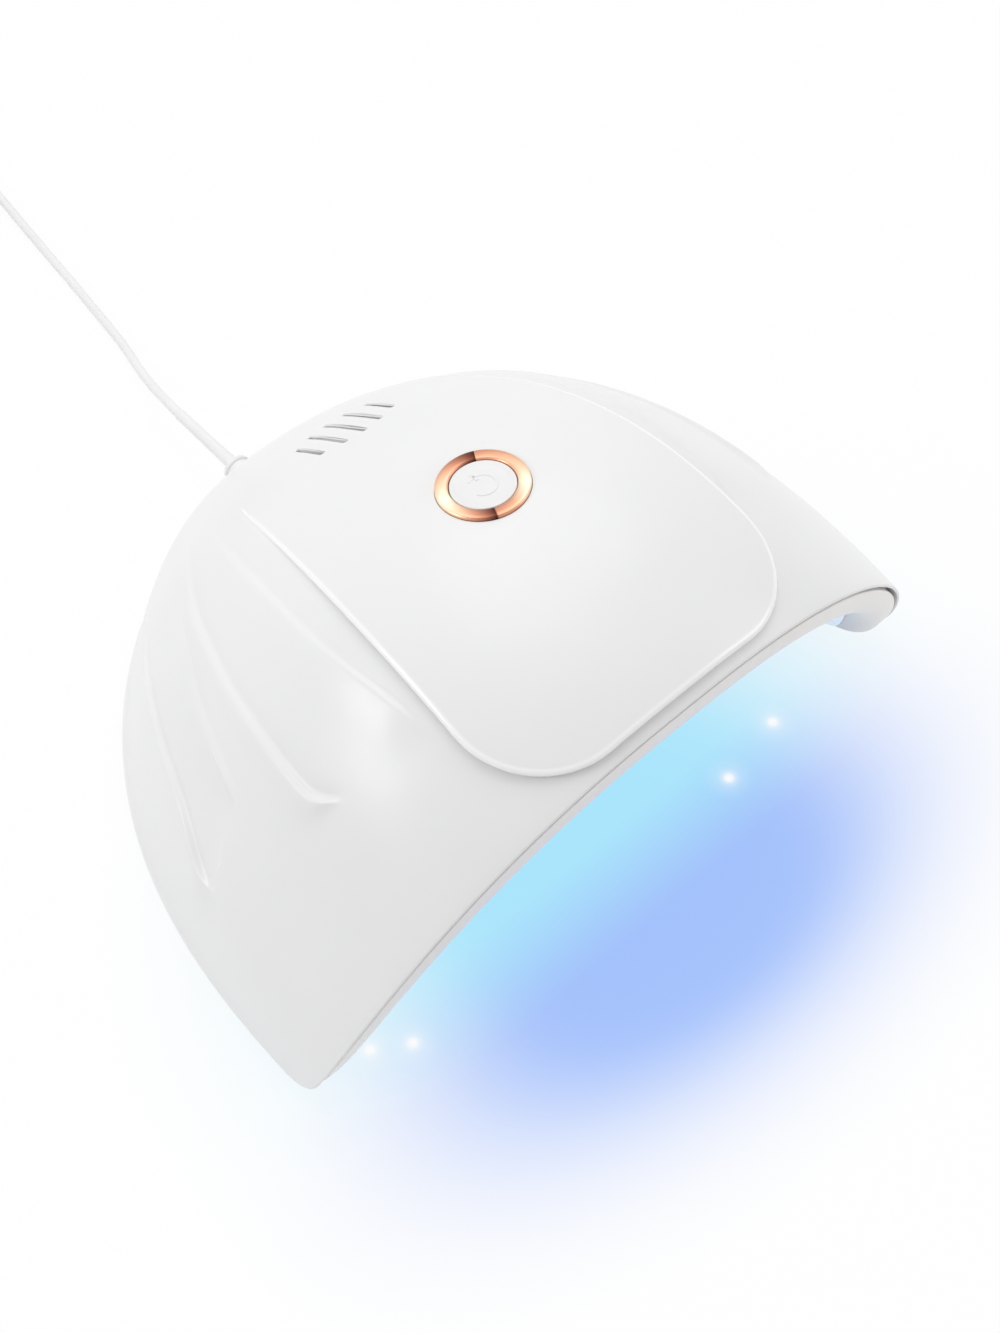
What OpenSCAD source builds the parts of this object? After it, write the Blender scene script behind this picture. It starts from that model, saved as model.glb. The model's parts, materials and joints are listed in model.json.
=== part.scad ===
/* [Body] */
// Width across the two feet
body_w = 170; // [158:1:184]
// Depth from the front of the brow to the back
body_d = 146; // [134:1:160]
// Height of the front arch above the base
front_h = 71; // [65:1:78]
// Lean of the brow out over the feet
brow = 16; // [11:1:20]
// Gain in height towards the back, as a share of the arch
crown_rise = 1.58; // [1.45:0.01:1.7]
// Wall thickness of the cover
cover_t = 2.4; // [2:0.1:2.8]
// Height of the base above the table
foot_h = 1.5; // [1:0.1:2.5]

/* [Tongue] */
// Width of the raised tongue on the cover
tongue_w = 73; // [66:1:80]
// Corner radius of the tongue's front end
tongue_r = 19; // [12:1:24]
// Gap between the cover's front edge and the tongue
tongue_gap = 2.2; // [1.6:0.1:4]
// Height of the tongue over the cover
tongue_h = 2; // [1:0.1:2.6]
// Width of the slope at the tongue's side
tongue_step = 0.6; // [0.4:0.1:1.2]

/* [Pleats] */
// Height of the pleats' crests over the cover
pleat_h = 1.3; // [0.6:0.1:2]
// Depth of the groove in front of each crest
groove_h = 0.4; // [0.1:0.1:0.8]

/* [Opening] */
// Thickness of the legs beside the hand
leg_t = 10; // [9.5:0.1:12]
// Thickness of the roof over the hand at the front edge
roof_t = 10; // [9.5:0.1:13]
// Space behind the hand cavity
rear_room = 23; // [22:1:27]
// Wall thickness of the housing
house_t = 2; // [1.6:0.1:2.4]
// Radius that leads the lip into the cavity
lip_r = 5; // [3:0.1:6]
// Thickness of the bright liner
liner_t = 0.8; // [0.6:0.1:1]
// Gap between the cover and the housing's lip
seam = 0.4; // [0.3:0.05:0.6]

/* [Button] */
// Distance from the front of the brow to the button
button_back = 55; // [48:1:62]
// Outer diameter of the metal ring
ring_d = 18.4; // [16:0.1:20]
// Width of the ring's face
ring_face = 2.6; // [2:0.1:3]
// Height of the ring's face over the tongue
ring_proud = 0.5; // [0.3:0.1:0.9]
// Travel of the button
press = 0.6; // [0.4:0.1:0.8]
// Gap between the cap and the ring
cap_gap = 0.15; // [0.1:0.05:0.25]
// Depth of the control board's face under the tongue
board_depth = 10.4; // [9.8:0.1:11]

/* [Vents] */
// Number of slots
vent_n = 5; // [3:2:7]
// Distance between slots
vent_pitch = 4.6; // [4:0.1:6]
// Width of a slot
vent_w = 1.8; // [1:0.1:2.4]
// Length of the middle slot
vent_len = 19; // [14:1:22]
// Distance from the front of the brow to the middle of the slots
vent_back = 98.4; // [92:0.1:104]

/* [Lights] */
// Number of rows of lights on a board
led_rows = 3; // [2:1:3]
// Distance between rows
led_pitch = 17; // [14:0.5:18]
// Distance between the two lights of a row
led_span = 15; // [12:0.5:16]
// Diameter of a light's lens
lens_d = 3.2; // [2.6:0.1:3.6]
// Side of a light's square body
chip_w = 3.6; // [3:0.1:4]

/* [Base] */
// Diameter of the rubber feet
pad_d = 6; // [5.4:0.1:6.2]
// Diameter of the screws
screw_d = 1.9; // [1.6:0.1:2]
// Length of the screws that hold the cover
screw_l = 8; // [7:0.5:9]

/* [Cord] */
// Diameter of the cord
cord_d = 2.4; // [2:0.1:2.8]
// Number of turns in each layer of the coil
coil_turns = 4; // [3:1:4]
// Gap between neighbouring turns
coil_gap = 0.5; // [0.45:0.05:0.6]

/* [Hidden] */
$fn = 48;

// Overall places, with the body's box centred over the origin
base_z = foot_h;
back_y = body_d / 2;
brow_y = -body_d / 2;
foot_y = brow_y + brow;
cave_back = back_y - rear_room;
slack = 0.05;
fit = 0.3;

// Powers that give the arch, the dome and the cavity their roundness
side_pow = 2.48;
top_pow = 1.46;
brow_pow = 0.59;
dome_width_pow = [2.48, 1.62];
dome_height_pow = [1.2, 1.15];
cave_width_pow = [3, 2];
cave_height_pow = [2.6, 2.2];
cave_rise = 0.12;

function power(v, p) = pow(max(v, 0), p);
function unit(v) = v / norm(v);
function arch_x(u) = sign(u) * power(sin(90 * abs(u)), 2 / side_pow);
function arch_z(u) = power(cos(90 * u), 2 / top_pow);
function arch_u(x) = asin(power(x / (body_w / 2), side_pow / 2)) / 90;
function front_y(u) = foot_y - brow * power(arch_z(u), brow_pow);

// A shell is [half width, height, back, set back, width powers, height powers, rise]
function skin(inset) =
    [body_w / 2 - inset, front_h - inset, back_y - inset, 0, dome_width_pow, dome_height_pow, crown_rise];
function cave(grow, set_back) =
    [body_w / 2 - leg_t + grow, front_h - roof_t + grow, cave_back + grow, set_back,
     cave_width_pow, cave_height_pow, cave_rise];

// Point of a shell: u runs over the arch from left to right, s from the front edge to the back
function point(u, s, f) =
    let (y = front_y(u) + f[3])
    [f[0] * arch_x(u) * power(1 - power(s, f[4][0]), 1 / f[4][1]),
     y + (f[2] - y) * s,
     base_z + f[1] * arch_z(u) * power(1 - power(s, f[5][0]), 1 / f[5][1]) * (1 + f[6] * s)];
function normal(u, s, f) =
    let (e = 0.004)
    unit(cross(point(min(u + e, 1), s, f) - point(max(u - e, -1), s, f),
               point(u, min(s + e, 1), f) - point(u, max(s - e, 0), f)));
function share_at(y, f) = (y - front_y(0) - f[3]) / (f[2] - front_y(0) - f[3]);

// Triangles across a bent strip, given as the points round it; the shorter way across comes first
function strip_faces(p, a, b) =
    b - a < 2 ? []
    : norm(p[a + 1] - p[b]) < norm(p[a] - p[b - 1])
        ? concat([[a, a + 1, b]], strip_faces(p, a + 1, b))
        : concat([[a, b - 1, b]], strip_faces(p, a, b - 1));

// Closed solid through rows of points; a row of one point is a pole
module rows_solid(rows) {
    count = len(rows);
    first = [for (i = 0, n = 0; i <= count; n = n + (i < count ? len(rows[i]) : 0), i = i + 1) n];
    last = [for (i = [0:count - 1]) first[i] + len(rows[i]) - 1];
    faces = [for (i = [0:count - 1])
        let (a = first[i], k = (i + 1) % count, b = first[k], na = len(rows[i]), nb = len(rows[k]))
        each (na > 1 && nb > 1
            ? [for (j = [0:na - 2]) each [[a + j, b + j, b + j + 1], [a + j, b + j + 1, a + j + 1]]]
            : na > 1 ? [for (j = [0:na - 2]) [a + j, b, a + j + 1]]
            : nb > 1 ? [for (j = [0:nb - 2]) [a, b + j, b + j + 1]]
            : [])];
    left = strip_faces([for (row = rows) row[0]], 0, count - 1);
    right = strip_faces([for (row = rows) row[len(row) - 1]], 0, count - 1);
    caps = concat([for (t = left) [first[t[2]], first[t[1]], first[t[0]]]],
                  [for (t = right) [last[t[0]], last[t[1]], last[t[2]]]]);
    polyhedron([for (row = rows) each row], concat(faces, caps), convexity = 8);
}

// Tube swept along points, with rings square to the path
module tube(path, r, sides, ref) {
    n = len(path);
    rings = [for (i = [0:n - 1])
        let (t = unit(path[min(i + 1, n - 1)] - path[max(i - 1, 0)]),
             a = unit(cross(ref, t)),
             b = cross(t, a))
        [for (k = [0:sides - 1]) path[i] + r * (cos(360 * k / sides) * a + sin(360 * k / sides) * b)]];
    faces = [for (i = [0:n - 2], k = [0:sides - 1])
        let (m = (k + 1) % sides, a = i * sides, b = a + sides)
        each [[a + k, b + k, b + m], [a + k, b + m, a + m]]];
    ends = [[for (k = [0:sides - 1]) k], [for (k = [sides - 1:-1:0]) (n - 1) * sides + k]];
    polyhedron([for (ring = rings) each ring], concat(faces, ends), convexity = 6);
}

// Children stand on point p with their Z along z and their X near x
module stand(p, z, x) {
    y = unit(cross(z, x));
    w = cross(y, z);
    multmatrix([[w[0], y[0], z[0], p[0]], [w[1], y[1], z[1], p[1]], [w[2], y[2], z[2], p[2]]]) children();
}

// Tongue, pleats and grid of the cover's outer skin
tongue_u = arch_u(tongue_w / 2);
tongue_out = arch_u(tongue_w / 2 + tongue_step);
step_s = tongue_step / body_d;
front_rows = 5;
corner_cols = 6;
// Shares of the way from the tongue's front end to the back, closer where pleats end
row_t = [0, 0.035, 0.07, 0.095, 0.125, 0.16, 0.185, 0.21, 0.235, 0.27, 0.31, 0.355, 0.4, 0.45, 0.5,
    0.55, 0.6, 0.65, 0.7, 0.75, 0.8, 0.845, 0.885, 0.92, 0.95, 0.972, 0.988, 1];
// Place of each crest on the half arch, its drift towards the back, and where it starts
pleats = [[0.262, 0.08, 0.095], [0.455, -0.11, 0.095], [0.56, -0.25, 0.21], [0.715, -0.2, 0.185]];
pleat_share = [0.8, 1, 0.5, 0.9];
groove_u = 0.02;
band_cols = [1, 3, 1, 4, 1, 3, 1, 3, 1, 5];

function ramp(t, a, b) = t <= a ? 0 : t >= b ? 1 : 0.5 - 0.5 * cos(180 * (t - a) / (b - a));
function crest_u(k, t) = pleats[k][0] + pleats[k][1] * (t - pleats[k][2]);
function crest_fade(k, t) =
    pleat_share[k] * ramp(t, pleats[k][2] - 0.026, pleats[k][2]) * (1 - ramp(t, 0.45, 0.8));
function tongue_fade(t) = 1 - ramp(t, 0.15, 0.72);
function band_u(t) =
    concat([tongue_u, tongue_out], [for (k = [0:3]) each [crest_u(k, t) - groove_u, crest_u(k, t)]], [1]);
function band_h(t) = concat([0, 0], [for (k = [0:3]) each [-groove_h, pleat_h] * crest_fade(k, t)], [0]);
function spread(v) =
    [for (k = [0:len(band_cols) - 1], j = [1:band_cols[k]]) v[k] + (v[k + 1] - v[k]) * j / band_cols[k]];
tongue_cols = concat(
    [for (k = [0:3]) arch_u((tongue_w / 2 - tongue_r) * k / 3)],
    [for (k = [1:corner_cols]) arch_u(tongue_w / 2 - tongue_r + tongue_r * sin(90 * k / corner_cols))]);
function half_cols(t) = concat(tongue_cols, spread(band_u(t)));
function half_lift(t, raised) =
    concat([for (u = tongue_cols) raised ? tongue_h * tongue_fade(t) : 0], spread(band_h(t)));
function both(v, side) = concat([for (k = [len(v) - 1:-1:1]) side * v[k]], v);
function edge_share(u) =
    let (over = min(max(0, body_w / 2 * arch_x(abs(u)) - tongue_w / 2 + tongue_r), tongue_r))
    (tongue_gap + tongue_r - sqrt(tongue_r * tongue_r - over * over)) / (back_y - front_y(u));

function outer_row(t, front, cols, lift) = [for (j = [0:len(cols) - 1])
    let (u = cols[j],
         e = edge_share(u),
         s = front ? (e - step_s) * t : e + (1 - e) * t,
         f = skin(0))
    lift[j] == 0 ? point(u, s, f) : point(u, s, f) + lift[j] * normal(u, s, f)];
tidy_cols = [0, 0.05, 0.1, 0.16, 0.22, 0.28, 0.34, 0.4, 0.46, 0.52, 0.58, 0.64, 0.7, 0.76, 0.82, 0.88,
    0.94, 1];
function plain_row(s, f) = [for (u = both(half_cols(0.3), -1)) point(u, s, f)];
function few_row(s, f) = [for (k = [-16:16]) point(k / 16, s, f)];

// Solid that fills a shell, to trim what stands inside it
module core(f) {
    shares = [0, 0.1, 0.2, 0.3, 0.4, 0.5, 0.6, 0.7, 0.8, 0.88, 0.94, 0.98];
    rows_solid(concat([for (s = shares) few_row(s, f)], [[point(0, 1, f)]], [[[0, foot_y, base_z]]]));
}

// Button frame: origin on the tongue's face, Z out along the ring's axis
ring_s = share_at(brow_y + button_back, skin(0));
ring_t = (ring_s - edge_share(0)) / (1 - edge_share(0));
ring_n = normal(0, ring_s, skin(0));
ring_p = point(0, ring_s, skin(0)) + tongue_h * tongue_fade(ring_t) * ring_n;
module on_button() {
    stand(ring_p, ring_n, [1, 0, 0]) children();
}
ring_sleeve_r = ring_d / 2 - 1.2;
ring_seat = 1.2;
ring_bore_r = ring_d / 2 - ring_face;
cap_r = ring_bore_r - cap_gap;
sleeve_end = 5;
flange_r = cap_r + 0.9;
flange_top = sleeve_end + 0.1;
flange_t = 1;
plunger_top = 6.6;
plunger_r = 1.7;
switch_h = 3.2;
board_t = 1.6;
board_w = 40;
board_l = 34;
post_x = 16;
post_y = 13.5;
post_r = 2.6;
small_screw_d = 1.8;
screw_hole_l = 6;

// Light boards: [point on the housing, outward normal, width across]
plate_t = 1.2;
plate_gap = 1;
chip_t = 0.7;
lens_l = 3.2;
plate_head_r = 1.5;
plate_head_h = 1;
plate_l = led_rows * led_pitch;
side_u = 0.52;
face_set = 0.4;
plate_lip = 2;
wall = cave(house_t, face_set + plate_lip);
side_s = share_at(brow_y + 40, wall);
top_s = share_at(brow_y + 52, wall);
function board_point(k) = point(k * side_u, k == 0 ? top_s : side_s, wall);
function board_normal(k) = normal(k * side_u, k == 0 ? top_s : side_s, wall);
plate_w = led_span + 8;
module on_board(k) {
    stand(board_point(k) + plate_gap * board_normal(k), board_normal(k), [0, 1, 0]) children();
}
module each_led() {
    for (i = [0:led_rows - 1], j = [-0.5, 0.5])
        translate([(i - (led_rows - 1) / 2) * led_pitch, j * led_span, 0]) children();
}
module each_plate_end() {
    for (i = [-1, 1]) translate([i * (plate_l / 2 - 3), 0, 0]) children();
}

// Feet, screws and the bosses over them: two in the legs and two behind the cavity
head_r = 1.9;
head_h = 1.3;
boss_r = 1.9;
boss_h = 24;
leg_x = body_w / 2 - leg_t + house_t + head_r + 0.45;
leg_y = foot_y + 13;
rear_x = 40;
rear_y = cave_back - 4.5;
floor_t = 2;
floor_up = 0.3;
deck_r = 2.2;
deck_z = base_z + 3.2;
module each_foot() {
    for (side = [-1, 1]) {
        translate([side * leg_x, leg_y, 0]) children();
        translate([side * rear_x, rear_y, 0]) children();
    }
}

// Cord: where it leaves, its route on the table and the coil
exit_z = 9;
relief_l = 22;
relief_y = back_y + relief_l;
cord_r = cord_d / 2;
lay_z = cord_r + 0.1;
run_points = [[0, relief_y, exit_z], [0, relief_y + 2.5, exit_z], [0.4, relief_y + 6, 8.4],
    [1.3, relief_y + 11, 6.6], [2.6, relief_y + 17, 4.3], [4, relief_y + 23, 2.5], [5.4, relief_y + 29, 1.6],
    [6.7, relief_y + 36, lay_z], [8, relief_y + 47, lay_z], [9.4, relief_y + 60, lay_z],
    [10.8, relief_y + 74, lay_z], [12.2, relief_y + 88, lay_z], [13.5, relief_y + 101, 1.6],
    [14.7, relief_y + 112.5, 2.1], [15, relief_y + 115.4, 2.1]];

// Strain relief: a flange inside, a neck through the wall and a taper outside
relief_in = back_y - 9.7;
relief_flange_r = 4.4;
relief_neck_r = 3;
relief_collar_r = 3.6;
relief_neck_l = 8.4;
relief_tip_r = cord_r + 0.7;

// Clamp over the cord, behind the cavity
clamp_y = relief_in - 3.1;
clamp_x = 5.5;
clamp_w = 15;
clamp_l = 4;
clamp_t = 2;
clamp_z = exit_z + cord_r + slack;
lead_y = cave_back + house_t + cord_r + 0.3;
lead_bend = clamp_y - clamp_l / 2 - lead_y;
lead_gap = 0.8;

// Coil: two layers that wind in and out again, lying clear of the table inside its tie
tie_t = 0.6;
tie_gap = 0.3;
tie_w = 4;
coil_pitch = cord_d + coil_gap;
coil_z = tie_t + tie_gap + cord_r;
coil_in = 8.4;
coil_out = coil_in + coil_turns * coil_pitch;
run_end = run_points[len(run_points) - 1];
run_dir = unit([for (k = [0, 1]) run_end[k] - run_points[len(run_points) - 2][k]]);
coil_mid = [run_end[0] + run_dir[0] * cord_d - run_dir[1] * coil_out,
    run_end[1] + run_dir[1] * cord_d + run_dir[0] * coil_out];
coil_start = atan2(-run_dir[0], run_dir[1]);
loop_steps = 24;
wind_steps = coil_turns * loop_steps;
climb_steps = loop_steps / 2;
function coil_point(k) =
    let (climb = (k - wind_steps) / climb_steps,
         turn = k <= wind_steps ? k / loop_steps : max(0, (k - wind_steps - climb_steps) / loop_steps),
         bulge = climb > 0 && climb < 1 ? 0.45 * sin(180 * climb) : 0,
         r = (k <= wind_steps ? coil_out - turn * coil_pitch : coil_in + turn * coil_pitch) - bulge,
         a = coil_start + 360 * k / loop_steps)
    [coil_mid[0] + r * cos(a), coil_mid[1] + r * sin(a), coil_z + coil_pitch * min(max(climb, 0), 1)];
coil_steps = 2 * wind_steps + climb_steps;
coil_last = coil_point(coil_steps);
coil_points = concat([run_end], [for (k = [0:coil_steps]) coil_point(k)],
    [coil_last - [run_dir[0], run_dir[1], 0] * cord_d]);
coil_gaps = [for (i = [0:len(coil_points) - 1], j = [i + climb_steps:1:len(coil_points) - 1])
    norm(coil_points[i] - coil_points[j]) - cord_d];

// Plug: it lies beside the coil with its axis along X
plug_z = 4.1;
plug_h = 8;
plug_w = 15.6;
grip_l = 22;
neck_l = 6;
shell_w = 12;
shell_h = 4.5;
shell_l = 18.8;
shell_t = 0.3;
tail_start = coil_points[len(coil_points) - 1];
plug_x = tail_start[0] - 17.2;
plug_y = tail_start[1] - 17.4;
tail_points = [tail_start, tail_start - [run_dir[0], run_dir[1], 0] * cord_d, tail_start + [-1, -6, -0.3],
    tail_start + [-2.4, -9.6, -0.6], tail_start + [-4.7, -12.8, -0.8], tail_start + [-7.7, -15.3, -0.9],
    tail_start + [-11.2, -16.8, -0.9], [plug_x + 2.6, plug_y, plug_z], [plug_x, plug_y, plug_z]];

inner_s = [0, 0.07, 0.14, 0.22, 0.3, 0.39, 0.48, 0.57, 0.66, 0.74, 0.82, 0.89, 0.945, 0.982];
module cover_shell() {
    rows_solid(concat(
        [for (k = [0:front_rows])
            outer_row(k / front_rows, true, both(half_cols(0), -1), both(half_lift(0, false), 1))],
        [for (t = row_t) if (t < 1) outer_row(t, false, both(half_cols(t), -1), both(half_lift(t, true), 1))],
        [[point(0, 1, skin(0))], [point(0, 1, skin(cover_t))]],
        [for (k = [len(inner_s) - 1:-1:0]) plain_row(inner_s[k], skin(cover_t))]));
}

module each_post() {
    on_button() for (x = [-1, 1], y = [-1, 1]) translate([x * post_x, y * post_y, 0]) children();
}

slot_cut = 14;
module vent_slot(i) {
    l = vent_len * (1 - 0.085 * i * i);
    linear_extrude(slot_cut, center = true) {
        square([vent_w, l - vent_w], center = true);
        for (e = [-1, 1]) translate([0, e * (l - vent_w) / 2]) circle(d = vent_w);
    }
}

module top_cover() {
    vent_s = share_at(brow_y + vent_back, skin(0));
    color("white") difference() {
        union() {
            cover_shell();
            intersection() {
                core(skin(cover_t / 2));
                union() {
                    each_foot() translate([0, 0, deck_z]) cylinder(r = boss_r, h = boss_h);
                    each_post() translate([0, 0, -board_depth]) cylinder(r = post_r, h = board_depth);
                }
            }
        }
        each_foot() translate([0, 0, deck_z - 1]) cylinder(d = screw_d + 2 * slack, h = screw_l);
        each_post() translate([0, 0, -board_depth - 1]) cylinder(d = small_screw_d + 2 * slack, h = 6);
        on_button() {
            translate([0, 0, -board_depth]) cylinder(r = ring_sleeve_r + slack, h = 2 * board_depth);
            translate([0, 0, -ring_seat]) cylinder(d = ring_d + 4 * slack, h = board_depth);
        }
        for (i = [-(vent_n - 1) / 2:(vent_n - 1) / 2])
            stand(point(0, vent_s, skin(0)) + [i * vent_pitch, 0, 0], normal(0, vent_s, skin(0)), [1, 0, 0])
                vent_slot(i);
        translate([0, relief_in, exit_z]) rotate([-90, 0, 0]) cylinder(r = relief_neck_r + 0.2, h = 20);
    }
}

function lip_row(aw, ah, dy) = [for (u = both(tidy_cols, -1))
    [(body_w / 2 - leg_t + aw) * arch_x(u), front_y(u) + dy, base_z + (front_h - roof_t + ah) * arch_z(u)]];
function smooth_row(s, f) = [for (u = both(tidy_cols, -1)) point(u, s, f)];

// Line where a shell meets a level above the base, from the front to the back
function floor_line(f, level, from, to) = [for (k = [0:20])
    let (s = from + (to - from) * sin(90 * k / 20),
         high = f[1] * power(1 - power(s, f[5][0]), 1 / f[5][1]) * (1 + f[6] * s),
         p = point(acos(power(min(level / high, 1), top_pow / 2)) / 90, s, f))
    [p[0], p[1]]];
function mirrored(v) = concat(v, [for (k = [len(v) - 1:-1:0]) [-v[k][0], v[k][1]]]);

module floor_ring() {
    front_s = (face_set + plate_lip / 2) / (back_y - foot_y);
    difference() {
        linear_extrude(floor_t)
            polygon(mirrored(floor_line(skin(cover_t + seam + fit), floor_t + floor_up, front_s, 0.995)));
        translate([0, 0, -1]) linear_extrude(floor_t + 2) polygon(mirrored(concat(
            [[body_w / 2 - leg_t + house_t / 2, foot_y - 5]],
            floor_line(cave(house_t / 2, face_set + plate_lip), 0, 0, 0.999))));
    }
}

module housing_shell() {
    rows_solid(concat(
        [lip_row(leg_t - cover_t - seam, roof_t - cover_t - seam, face_set + plate_lip)],
        [for (k = [0:12]) smooth_row(sin(88 * k / 12), wall)],
        [[point(0, 1, wall)], [point(0, 1, cave(0, lip_r + face_set))]],
        [for (k = [12:-1:0]) smooth_row(sin(88 * k / 12), cave(0, lip_r + face_set))],
        [for (a = [30, 60, 90]) let (out = lip_r * (1 - cos(a)))
            lip_row(out, out, face_set + lip_r * (1 - sin(a)))],
        [lip_row(leg_t - cover_t - seam, roof_t - cover_t - seam, face_set)]));
}

module inner_housing() {
    color("whitesmoke") difference() {
        union() {
            housing_shell();
            translate([0, 0, base_z + floor_up]) floor_ring();
            difference() {
                union() {
                    for (k = [-1:1]) on_board(k) each_plate_end()
                        translate([0, 0, -plate_gap - 4]) cylinder(r = 2, h = plate_gap + 4);
                    each_foot() translate([0, 0, base_z + floor_up])
                        cylinder(r = deck_r, h = deck_z - base_z - floor_up);
                }
                core(cave(house_t / 2, face_set + plate_lip));
            }
            // Two posts for the clamp's screws and a saddle under the cord
            translate([0, clamp_y, base_z + floor_t / 2]) {
                for (side = [-1, 1]) translate([side * clamp_x, 0, 0])
                    cylinder(r = 1.9, h = clamp_z - base_z - floor_t / 2);
                translate([-2.5, -1.8, 0]) cube([5, 3.6, exit_z - cord_r - base_z - floor_t / 2]);
            }
        }
        for (k = [-1:1]) on_board(k) {
            each_led() translate([0, 0, -12]) cylinder(d = lens_d + 1, h = 12.5, $fn = 24);
            each_plate_end() translate([0, 0, -3]) cylinder(d = small_screw_d - 0.2, h = 4, $fn = 24);
        }
        each_foot() {
            translate([0, 0, base_z + floor_up / 2])
                cylinder(r = head_r + 0.15, h = floor_up / 2 + head_h + 0.1);
            translate([0, 0, base_z + floor_up]) cylinder(d = screw_d + 0.3, h = screw_hole_l);
        }
        for (side = [-1, 1]) translate([side * clamp_x, clamp_y, clamp_z - 5])
            cylinder(d = small_screw_d, h = screw_hole_l);
    }
}

module reflector_liner() {
    outside = cave(-0.3, lip_r + face_set + 1);
    inside = cave(-0.3 - liner_t, lip_r + face_set + 1);
    color("silver") difference() {
        rows_solid(concat(
            [for (k = [0:12]) smooth_row(sin(88 * k / 12), outside)],
            [[point(0, 1, outside)], [point(0, 1, inside)]],
            [for (k = [12:-1:0]) smooth_row(sin(88 * k / 12), inside)]));
        for (k = [-1:1]) on_board(k) each_led()
            translate([0, 0, -12]) cylinder(d = lens_d + 0.8, h = 12.5, $fn = 24);
    }
}

module button_ring() {
    face_r = ring_d / 2;
    color("peru") on_button() rotate_extrude($fn = 96) polygon([
        [ring_bore_r, -sleeve_end], [ring_sleeve_r, -sleeve_end], [ring_sleeve_r, -ring_seat],
        [face_r, -ring_seat], [face_r, ring_proud - 0.3], [face_r - 0.3, ring_proud],
        [ring_bore_r + 0.3, ring_proud], [ring_bore_r, ring_proud - 0.3]]);
}

module power_button() {
    cap_t = 1.2;
    crown = 0.35;
    color("white") on_button() rotate_extrude($fn = 96) polygon(concat(
        [[0, -plunger_top + slack * 2], [1.6, -plunger_top + slack * 2], [1.6, -cap_t], [cap_r - 1.1, -cap_t],
         [cap_r - 1.1, -flange_top - flange_t], [flange_r, -flange_top - flange_t], [flange_r, -flange_top],
         [cap_r, -flange_top], [cap_r, -0.25]],
        [for (k = [0:5]) let (r = (cap_r - 0.3) * (1 - k / 5)) [r, crown * (1 - pow(r / cap_r, 2))]]));
}

module switch_body() {
    color("dimgray") on_button() translate([0, 0, -board_depth]) difference() {
        translate([-3, -3, 0]) cube([6, 6, switch_h]);
        translate([0, 0, 0.8]) cylinder(r = plunger_r + 0.1, h = switch_h);
    }
}

module switch_plunger() {
    color("black") on_button() translate([0, 0, -board_depth + 0.8 + press + 0.2])
        cylinder(r = plunger_r, h = board_depth - plunger_top - 1 - press);
}

module control_board() {
    color("darkgreen") difference() {
        on_button() translate([-board_w / 2, -board_l / 2, -board_depth - board_t])
            cube([board_w, board_l, board_t]);
        each_post() translate([0, 0, -board_depth - board_t - 1])
            cylinder(d = small_screw_d + 0.3, h = board_t + 2);
    }
}

module board_parts() {
    on_button() translate([0, 0, -board_depth]) {
        color("steelblue") translate([-8, 12, 0]) cylinder(d = 5, h = 3.2);
        color("dimgray") {
            translate([-14, -4, 0]) cube([6.5, 6.5, 3.2]);
            translate([8, -14, 0]) cube([5, 4, 1.6]);
            translate([-5, -14.5, 0]) cube([9, 4, 1.6]);
            translate([8, 6, 0]) cube([4, 3, 1.2]);
        }
        color("ivory") {
            for (side = [-1, 1]) translate([side * (board_w / 2 - 2.6) - 2.4, -4, 0]) cube([4.8, 8, 3.6]);
            translate([1, board_l / 2 - 5, 0]) cube([7, 4.8, 3.6]);
        }
    }
}

module board_screws() {
    color("silver") each_post() translate([0, 0, -board_depth - board_t]) {
        cylinder(d = small_screw_d, h = board_t + 4.4);
        translate([0, 0, -1.2]) cylinder(d = 3.4, h = 1.2);
    }
}

module led_board(k) {
    color("lightsteelblue") on_board(k) difference() {
        translate([-plate_l / 2, -plate_w / 2, 0]) cube([plate_l, plate_w, plate_t]);
        each_plate_end() translate([0, 0, -1]) cylinder(d = small_screw_d - 0.2, h = plate_t + 2, $fn = 24);
    }
}
module led_board_top() {
    led_board(0);
}
module led_board_left() {
    led_board(-1);
}
module led_board_right() {
    led_board(1);
}

module led_chips() {
    color("khaki") for (k = [-1:1]) on_board(k) each_led()
        translate([-chip_w / 2, -chip_w / 2, -chip_t]) cube([chip_w, chip_w, chip_t]);
}

module led_lenses() {
    color("violet") for (k = [-1:1]) on_board(k) each_led() translate([0, 0, -chip_t]) rotate([180, 0, 0])
        rotate_extrude($fn = 24) polygon(concat([[0, 0], [lens_d / 2, 0]],
            [for (a = [0:15:90]) [lens_d / 2 * cos(a), lens_l - lens_d / 2 + lens_d / 2 * sin(a)]]));
}

module led_board_screws() {
    color("silver") for (k = [-1:1]) on_board(k) each_plate_end() {
        translate([0, 0, -2.6]) cylinder(d = small_screw_d - 0.3, h = plate_t + 2.6, $fn = 24);
        translate([0, 0, plate_t]) cylinder(r = plate_head_r, h = plate_head_h, $fn = 24);
    }
}

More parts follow.
